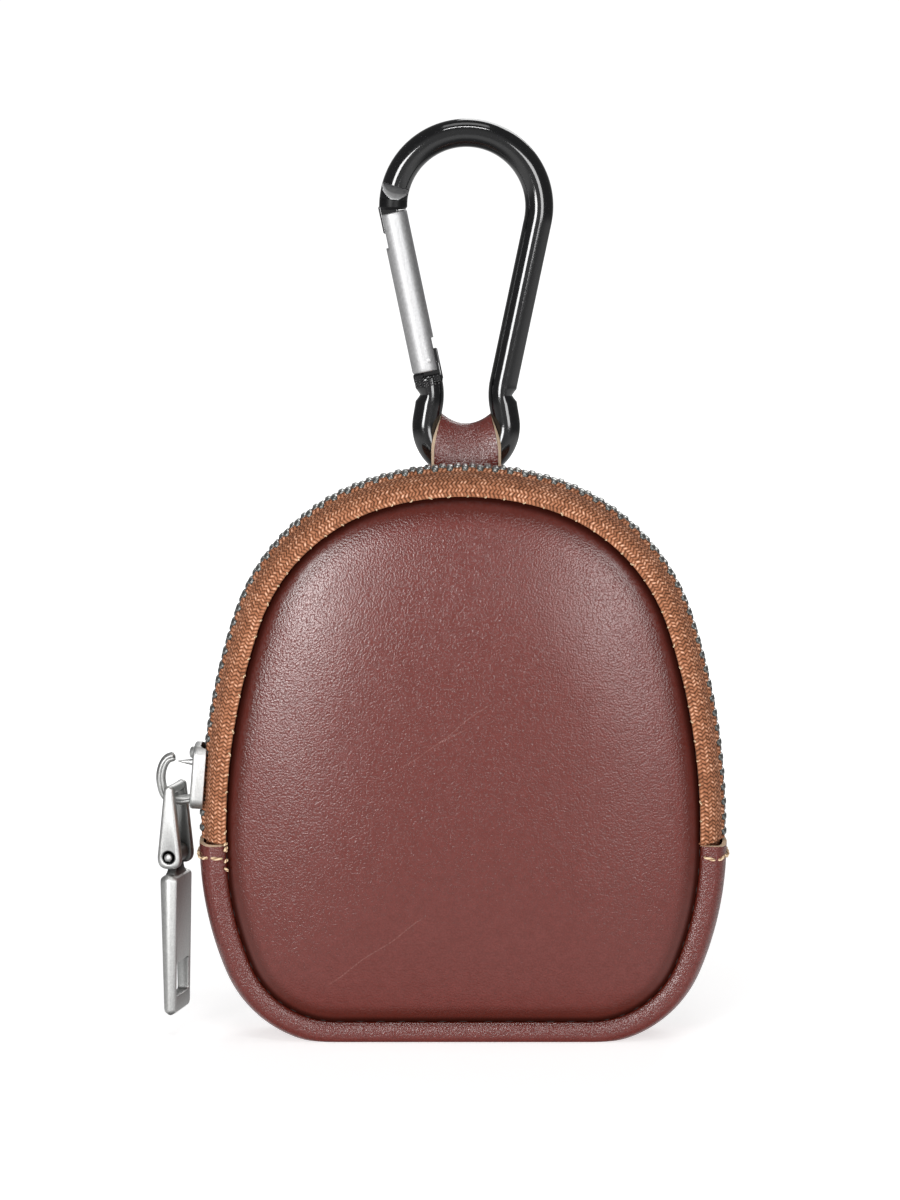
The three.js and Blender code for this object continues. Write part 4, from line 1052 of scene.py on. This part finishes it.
def side_point(distance, side):
    """A point of the hook's side at a distance up from the waist."""
    x = side * (WAIST_HALF + distance * math.sin(SIDE_LEAN))
    return np.array([x, WAIST_UP + distance * math.cos(SIDE_LEAN)])


def arc_points(radius, up, start, stop, count):
    """An arc about a centre on the hook's middle line."""
    angle = np.linspace(start, stop, count)
    return np.stack([radius * np.cos(angle), up + radius * np.sin(angle)], -1)


def bend_points(start, corner, stop, count=14):
    """A bend from start to stop that heads for the corner, as a quadratic curve."""
    share = np.linspace(0, 1, count)[:, None]
    return (1 - share) ** 2 * start + 2 * share * (1 - share) * corner + share**2 * stop


def bar_route():
    """The bar's middle line, from the hinge down through the waist, round the eye, up the far side and over
    the top loop to the nose, with even steps along it."""
    waist = {side: side_point(0.0, side) for side in (-1, 1)}
    touch = {1: arc_points(EYE_RADIUS, 0, EYE_TOUCH, EYE_TOUCH, 1)[0]}
    touch[-1] = touch[1] * (-1, 1)
    below = {}
    for side in (-1, 1):
        down = touch[side] - waist[side]
        below[side] = waist[side] + down * WAIST_BEND / np.linalg.norm(down)
    nose = SIDE_LEAN + (GATE["high"] + NOSE_GAP - SIDE_LONG) / TOP_RADIUS
    line = np.concatenate([
        [side_point(HINGE_FROM, -1)],
        bend_points(side_point(WAIST_BEND, -1), waist[-1], below[-1]),
        arc_points(EYE_RADIUS, 0, math.pi - EYE_TOUCH, 2 * math.pi + EYE_TOUCH, 60),
        bend_points(below[1], waist[1], side_point(WAIST_BEND, 1)),
        arc_points(TOP_RADIUS, TOP_UP, -SIDE_LEAN, math.pi + 2 * SIDE_LEAN - nose, 90),
    ])
    steps = np.concatenate([[0.0], np.cumsum(np.linalg.norm(np.diff(line, axis=0), axis=1))])
    even = np.linspace(0, steps[-1], 560)
    return np.stack([np.interp(even, steps, line[:, k]) for k in (0, 1)], -1), even


def on_hook(x, y, z):
    """Points given from the eye's centre, put in their place."""
    return grid_points(x, y, z) + HOOK_PLACE


def on_gate_side(across, deep, up):
    """Points given across the gate, through it and up its leaning side, put in their place."""
    x = across * math.cos(SIDE_LEAN) - up * math.sin(SIDE_LEAN) - WAIST_HALF
    z = across * math.sin(SIDE_LEAN) + up * math.cos(SIDE_LEAN) + WAIST_UP
    return on_hook(x, deep, z)


def hook_bar():
    """A round section carried along the bar's line and closed at both ends. On the outside of the waist it
    is pinched, and above the nose's collar the front is milled to a bare slanting flat that ends in a
    step, so the section is cut off there at a depth that grows along the bar."""
    line, travel = bar_route()
    run = np.gradient(line, axis=0)
    run = run / np.linalg.norm(run, axis=1, keepdims=True)
    angle = np.linspace(0, 2 * np.pi, 49)[None, :]
    along_mill = (travel[-1] - travel - NOSE["collar"]) / NOSE["mill"]
    cut = np.where((along_mill > 0) & (along_mill < 1), along_mill, 0) * NOSE["depth"]
    radius = np.full(len(line), BAR / 2)
    radius[[0, -1]] = 0.0
    radius[[1, -2]] = BAR / 2 - 0.25
    line[1], line[-2] = line[0], line[-1]
    pinch = np.zeros(len(line))
    for side in (-1, 1):
        waist = np.argmin(np.linalg.norm(line - side_point(-0.3, side), axis=1))
        pinch += PINCH["share"] * np.clip(1 - np.abs(travel - travel[waist]) / PINCH["reach"], 0, 1)
    outer = np.clip(np.cos(angle), 0, 1)
    in_plane = radius[:, None] * (np.cos(angle) - pinch[:, None] * outer)
    deep = radius[:, None] * np.sin(angle)
    flat = -BAR / 2 + cut[:, None] + 0 * deep
    milled = (cut[:, None] > 0) & (deep < flat)
    deep = np.maximum(deep, flat)
    x = line[:, :1] + run[:, 1:] * in_plane
    z = line[:, 1:] - run[:, :1] * in_plane
    bare_faces = milled[:-1, :-1] & milled[1:, 1:]
    on_collar = (along_mill < 0)[1:, None] & ~bare_faces
    return dict(points=on_hook(x, deep, z), finish=(bare_faces + 2 * on_collar).ravel())


def block(low, high, bevel=0.15):
    """A bevelled block on the gate's side, from its low to its high corner."""
    low, high = np.asarray(low, float), np.asarray(high, float)
    middle, half = (low + high) / 2, (high - low) / 2
    grown = np.array([0, 1, 1, 1, 1, 0])[:, None]
    inset = np.array([0, bevel, 0, 0, bevel, 0])[:, None]
    height = np.array([half[2], half[2], half[2] - bevel, -half[2] + bevel, -half[2], -half[2]])
    angle = np.linspace(0, 2 * np.pi, 41)[None, :]
    square_a = np.sign(np.cos(angle)) * np.abs(np.cos(angle)) ** 0.25
    square_b = np.sign(np.sin(angle)) * np.abs(np.sin(angle)) ** 0.25
    across = middle[0] + grown * (half[0] - inset) * square_a
    deep = middle[1] + grown * (half[1] - inset) * square_b
    return dict(points=on_gate_side(across, deep, middle[2] + height[:, None] + 0 * across))


def knurl():
    """Small domes in rows over the front of the hinge block."""
    across, up = np.meshgrid(np.linspace(*KNURL["across"]), np.linspace(*KNURL["up"]), indexing="ij")
    centre = np.stack([across.ravel(), up.ravel()], -1)[:, :, None, None]
    tilt = np.linspace(0, np.pi / 2, 4)[None, :, None]
    turn = np.linspace(0, 2 * np.pi, 9)[None, None, :]
    spread = KNURL["radius"] * np.sin(tilt)
    front = -np.sqrt(np.clip((BAR / 2) ** 2 - centre[:, 0] ** 2, 1.2, None))
    deep = np.minimum(front, -KNURL["face"]) - KNURL["rise"] * np.cos(tilt)
    return dict(points=on_gate_side(
        centre[:, 0] + spread * np.cos(turn), deep + 0 * turn, centre[:, 1] + spread * np.sin(turn)
    ))


def gate_tube():
    """The gate's outer face over angle and height, with the faces over its two slots left out: the lower
    slot opens inwards over the hinge and the upper one outwards at the nose."""
    half_turn = math.asin(GATE["slot"] / (BAR / 2))
    wide = np.linspace(half_turn, math.pi - half_turn, 15)
    narrow = np.linspace(math.pi - half_turn, math.pi + half_turn, 5)
    angle = np.concatenate([wide, narrow[1:], wide[1:] + math.pi, narrow[1:] + math.pi])
    low, high, hinge_slot, nose_slot = (GATE[key] for key in ("low", "high", "hinge_slot", "nose_slot"))
    foot = np.concatenate([[low, low + 0.12], np.linspace(low + 0.3, hinge_slot, 8)])
    shaft = np.linspace(hinge_slot, nose_slot, 24)[1:]
    head = np.concatenate([np.linspace(nose_slot, high - 0.3, 8)[1:], [high - 0.12, high]])
    height = np.concatenate([foot, shaft, head])
    radius = np.full(len(height), BAR / 2)
    radius[[0, -1]] -= 0.14
    radius[[1, -2]] -= 0.04
    across = radius[:, None] * np.cos(angle)[None, :]
    deep = radius[:, None] * np.sin(angle)[None, :]
    points = on_gate_side(across, deep, height[:, None] + 0 * across)
    hinge_row = len(foot) - 1
    nose_row = hinge_row + len(shaft)
    slot_columns = len(narrow) - 1
    parts = (
        points[: hinge_row + 1, :-slot_columns],
        points[hinge_row : nose_row + 1],
        points[nose_row:, : len(wide)],
        points[nose_row:, len(wide) - 1 + slot_columns :],
    )
    return [dict(points=part) for part in parts]


enamel = black_enamel("black_enamel")
dull_enamel = black_enamel("dull_enamel", dull=0.4, gloss=0.25)
bare = bare_metal("bare_metal")
blocks = [dict(block(low, high), finish=finish) for low, high, finish in HOOK_BLOCKS.values()]
hook = make_mesh("hook_bar", hook_bar(), *blocks, knurl(), crease=35.0)
fasten(hook, [enamel, bare, dull_enamel], replaces=["clip_frame"])
gate = make_mesh("hook_gate", *gate_tube(), crease=45.0)
wall = gate.modifiers.new("wall", "SOLIDIFY")
wall.thickness = GATE["wall"] * MM
wall.offset = -1.0
fasten(gate, [bare], body="gate", replaces=["clip_gate"])
pin_rows = np.concatenate([HALF_PIN * (1, -1), HALF_PIN[::-1]])
pin_angle = np.linspace(0, 2 * np.pi, 21)[None, :]
pin_points = on_gate_side(
    GATE_PIVOT["inward"] + pin_rows[:, :1] * np.cos(pin_angle),
    pin_rows[:, 1:] + 0 * pin_angle,
    GATE_PIVOT["up"] + pin_rows[:, :1] * np.sin(pin_angle),
)
fasten(make_mesh("hook_pin", dict(points=pin_points)), [bare], replaces=["clip_pin"])

# The strap. A strip of the same leather is folded through the hook's eye and both its ends are caught in
# the back seam. Its sides are cut raw, and it is squeezed narrower where it passes over the bar.

STRAP = dict(wall=1.2, half=5.6, fold_half=4.25, hole=BAR / 2 + 0.12, bevel=0.92)
STRAP_FOLD = dict(middle=97.8, edge=99.7)
STRAP_TAIL = dict(front=8.0, back=10.4, low=87.95, half=5.75)
STRAP_TURN = (205, -25)  # degrees round the bar, from behind it over the top to in front
FOOT_TURN = (-60, -120)  # and under the bar, where the two halves lie together
EYE_LOW = 90.9


def strap_points(share, radius, turn):
    """The strap round the bar at a share of its width: beside the bar it follows the eye's rise, and over
    the bar it is drawn in and lifted to the fold, which sags in the middle."""
    climb = np.clip(np.sin(turn), 0, 1)
    sink = np.clip(np.sin(turn), -1, 0)
    slope = np.arcsin(share * STRAP["half"] / EYE_RADIUS)
    beside = EYE_LOW + EYE_RADIUS * (1 - np.cos(slope))
    fold = STRAP_FOLD["middle"] + (STRAP_FOLD["edge"] - STRAP_FOLD["middle"]) * share**2
    over = fold - (STRAP["hole"] + STRAP["wall"] - radius)
    x = share * (STRAP["half"] + (STRAP["fold_half"] - STRAP["half"]) * climb**1.5)
    z = beside + (over - beside) * climb + radius * sink / np.cos(slope)
    return grid_points(HOOK_PLACE[0] + x, HOOK_PLACE[1] + radius * np.cos(turn) + 0 * x, z)


def strap_face(radius, share):
    """One face of the strap, round the bar from behind it to in front."""
    return strap_points(share, radius, np.radians(np.linspace(*STRAP_TURN, 49))[None, :])


strap_share = np.linspace(-1, 1, 33)[:, None]
strap_out = strap_face(STRAP["hole"] + STRAP["wall"], strap_share * STRAP["bevel"])
strap_in = strap_face(STRAP["hole"], strap_share)
tail_x = HOOK_PLACE[0] + strap_share * STRAP_TAIL["half"] * STRAP["bevel"]
tails = [grid_points(tail_x, STRAP_TAIL[end], STRAP_TAIL["low"]) for end in ("back", "front")]
foot = strap_points(strap_share, STRAP["hole"], np.radians([FOOT_TURN]))
outer_loop = np.concatenate([strap_out, *tails, strap_out[:, :1]], axis=1)
inner_loop = np.concatenate([strap_in, foot, strap_in[:, :1]], axis=1)
strap_leather = waxed_leather("strap_leather", grain=2.0, wax=1.0)
strap = make_mesh(
    "strap_leather",
    dict(points=outer_loop, from_edge=6.0),
    dict(points=inner_loop, from_edge=6.0),
    dict(points=np.stack([outer_loop[0], inner_loop[0]]), finish=1),
    dict(points=np.stack([outer_loop[-1], inner_loop[-1]]), finish=1),
)
fasten(strap, [strap_leather, raw_edge], replaces=["hang_strap"])

# The studio. A plain pale floor and backdrop, two tall soft boxes in front, a narrow one above them, one
# overhead and one behind, and the camera at the photograph's viewing angle. Places here are in metres.

FLOOR_HALF = 3.0
FLOOR_PAINT = (0.8, 0.8, 0.8, 1)
FLOOR_FADE = (60.0, 420.0)  # millimetres from the pouch, from the near tone to the far one
FLOOR_NEAR = (0.62, 0.62, 0.62, 1)
FLOOR_FAR = (1.05, 1.05, 1.05, 1)
ROOM_SIDES = (0.12, 0.12, 0.12, 1)
ROOM_ENDS = (0.34, 0.34, 0.34, 1)
ROOM_LOW = (0.65, 0.65, 0.65, 1)
BACKDROP = (1.05, 1.05, 1.05, 1)
floor_mesh = bpy.data.meshes.new("floor")
floor_ways = ((-1, -1), (1, -1), (1, 1), (-1, 1))
floor_mesh.from_pydata([(x * FLOOR_HALF, y * FLOOR_HALF, 0) for x, y in floor_ways], [], [(0, 1, 2, 3)])
floor = bpy.data.objects.new("floor", floor_mesh)
bpy.context.scene.collection.objects.link(floor)
floor_paint, floor_start, floor_shader = new_finish("floor_paint", {
    "Base Color": FLOOR_PAINT, "Roughness": 0.9, "Specular IOR Level": 0.0, "Emission Strength": 1.0,
})
floor_reach = floor_start.node("VectorMath", {"operation": "LENGTH"}, {0: floor_start.place(1.0)}, output=1)
link(floor_shader, {"Emission Color": floor_reach.ease(*FLOOR_FADE).colour(FLOOR_NEAR, FLOOR_FAR)})
floor_mesh.materials.append(floor_paint)
floor.visible_glossy = False

world = bpy.data.worlds.new("studio")
world.use_nodes = True
backdrop = Shade(world.node_tree)


def facing(direction):
    """How far a line of sight into the room points in a direction, from -1 to 1."""
    sockets = {0: backdrop.node("TexCoord"), 1: direction}
    return backdrop.node("VectorMath", {"operation": "DOT_PRODUCT"}, sockets, output=1)


along = facing((0, 1, 0))
down = facing((0, 0, -1))
room = along.math("ABSOLUTE", along).ease(0.6, 0.98).colour(ROOM_SIDES, ROOM_ENDS)
room = down.ease(0.12, 0.35).colour(room, ROOM_LOW)
room = down.ease(0.5, 0.85).colour(room, ROOM_SIDES)
tone = backdrop.node("LightPath").colour(room, BACKDROP)
link(world.node_tree.nodes["Background"], {"Color": tone})
bpy.context.scene.world = world
bpy.context.scene.view_settings.view_transform = "Standard"

MIDDLE = np.array([0.0, 0.0, 0.06])
LIGHTS = {  # azimuth and elevation in degrees, distance, power in watts, width and height
    "left_box": (-25.5, 9.5, 1.0, 4.9, 0.30, 0.44),
    "right_box": (24.5, 9.5, 1.0, 2.75, 0.34, 0.44),
    "front_fill": (0, 56, 1.1, 1.7, 0.5, 0.05),
    "top_box": (0, 84, 0.9, 0.65, 0.5, 0.3),
    "back_box": (165, 38, 1.0, 2.4, 0.5, 0.5),
}


def soft_box(name, azimuth, elevation, distance, power, wide, tall):
    """A rectangular soft light facing the pouch, placed by angles seen from it and a distance in metres."""
    lamp = bpy.data.lights.new(name, "AREA")
    lamp.energy = power
    lamp.shape = "RECTANGLE"
    lamp.size = wide
    lamp.size_y = tall
    holder = bpy.data.objects.new(name, lamp)
    bpy.context.scene.collection.objects.link(holder)
    turn, rise = math.radians(azimuth), math.radians(elevation)
    away = np.array([math.sin(turn) * math.cos(rise), -math.cos(turn) * math.cos(rise), math.sin(rise)])
    holder.location = MIDDLE + distance * away
    holder.rotation_euler = (math.pi / 2 - rise, 0.0, turn)


for name, light in LIGHTS.items():
    soft_box(name, *light)

CAMERA_SENSOR = 36.0  # millimetres, as the lens
CAMERA_LENS = 131.67
CAMERA_DISTANCE = 0.7
CAMERA_ELEVATION = math.radians(7.5)
CAMERA_AIM = np.array([-0.0021, 0.0, 0.0705])
camera_data = bpy.data.cameras.new("photo_camera")
camera_data.sensor_width = CAMERA_SENSOR
camera_data.lens = CAMERA_LENS
camera = bpy.data.objects.new("photo_camera", camera_data)
bpy.context.scene.collection.objects.link(camera)
back_off = np.array([0.0, -math.cos(CAMERA_ELEVATION), math.sin(CAMERA_ELEVATION)])
camera.location = CAMERA_AIM + CAMERA_DISTANCE * back_off
camera.rotation_euler = (math.pi / 2 - CAMERA_ELEVATION, 0.0, 0.0)
bpy.context.scene.camera = camera
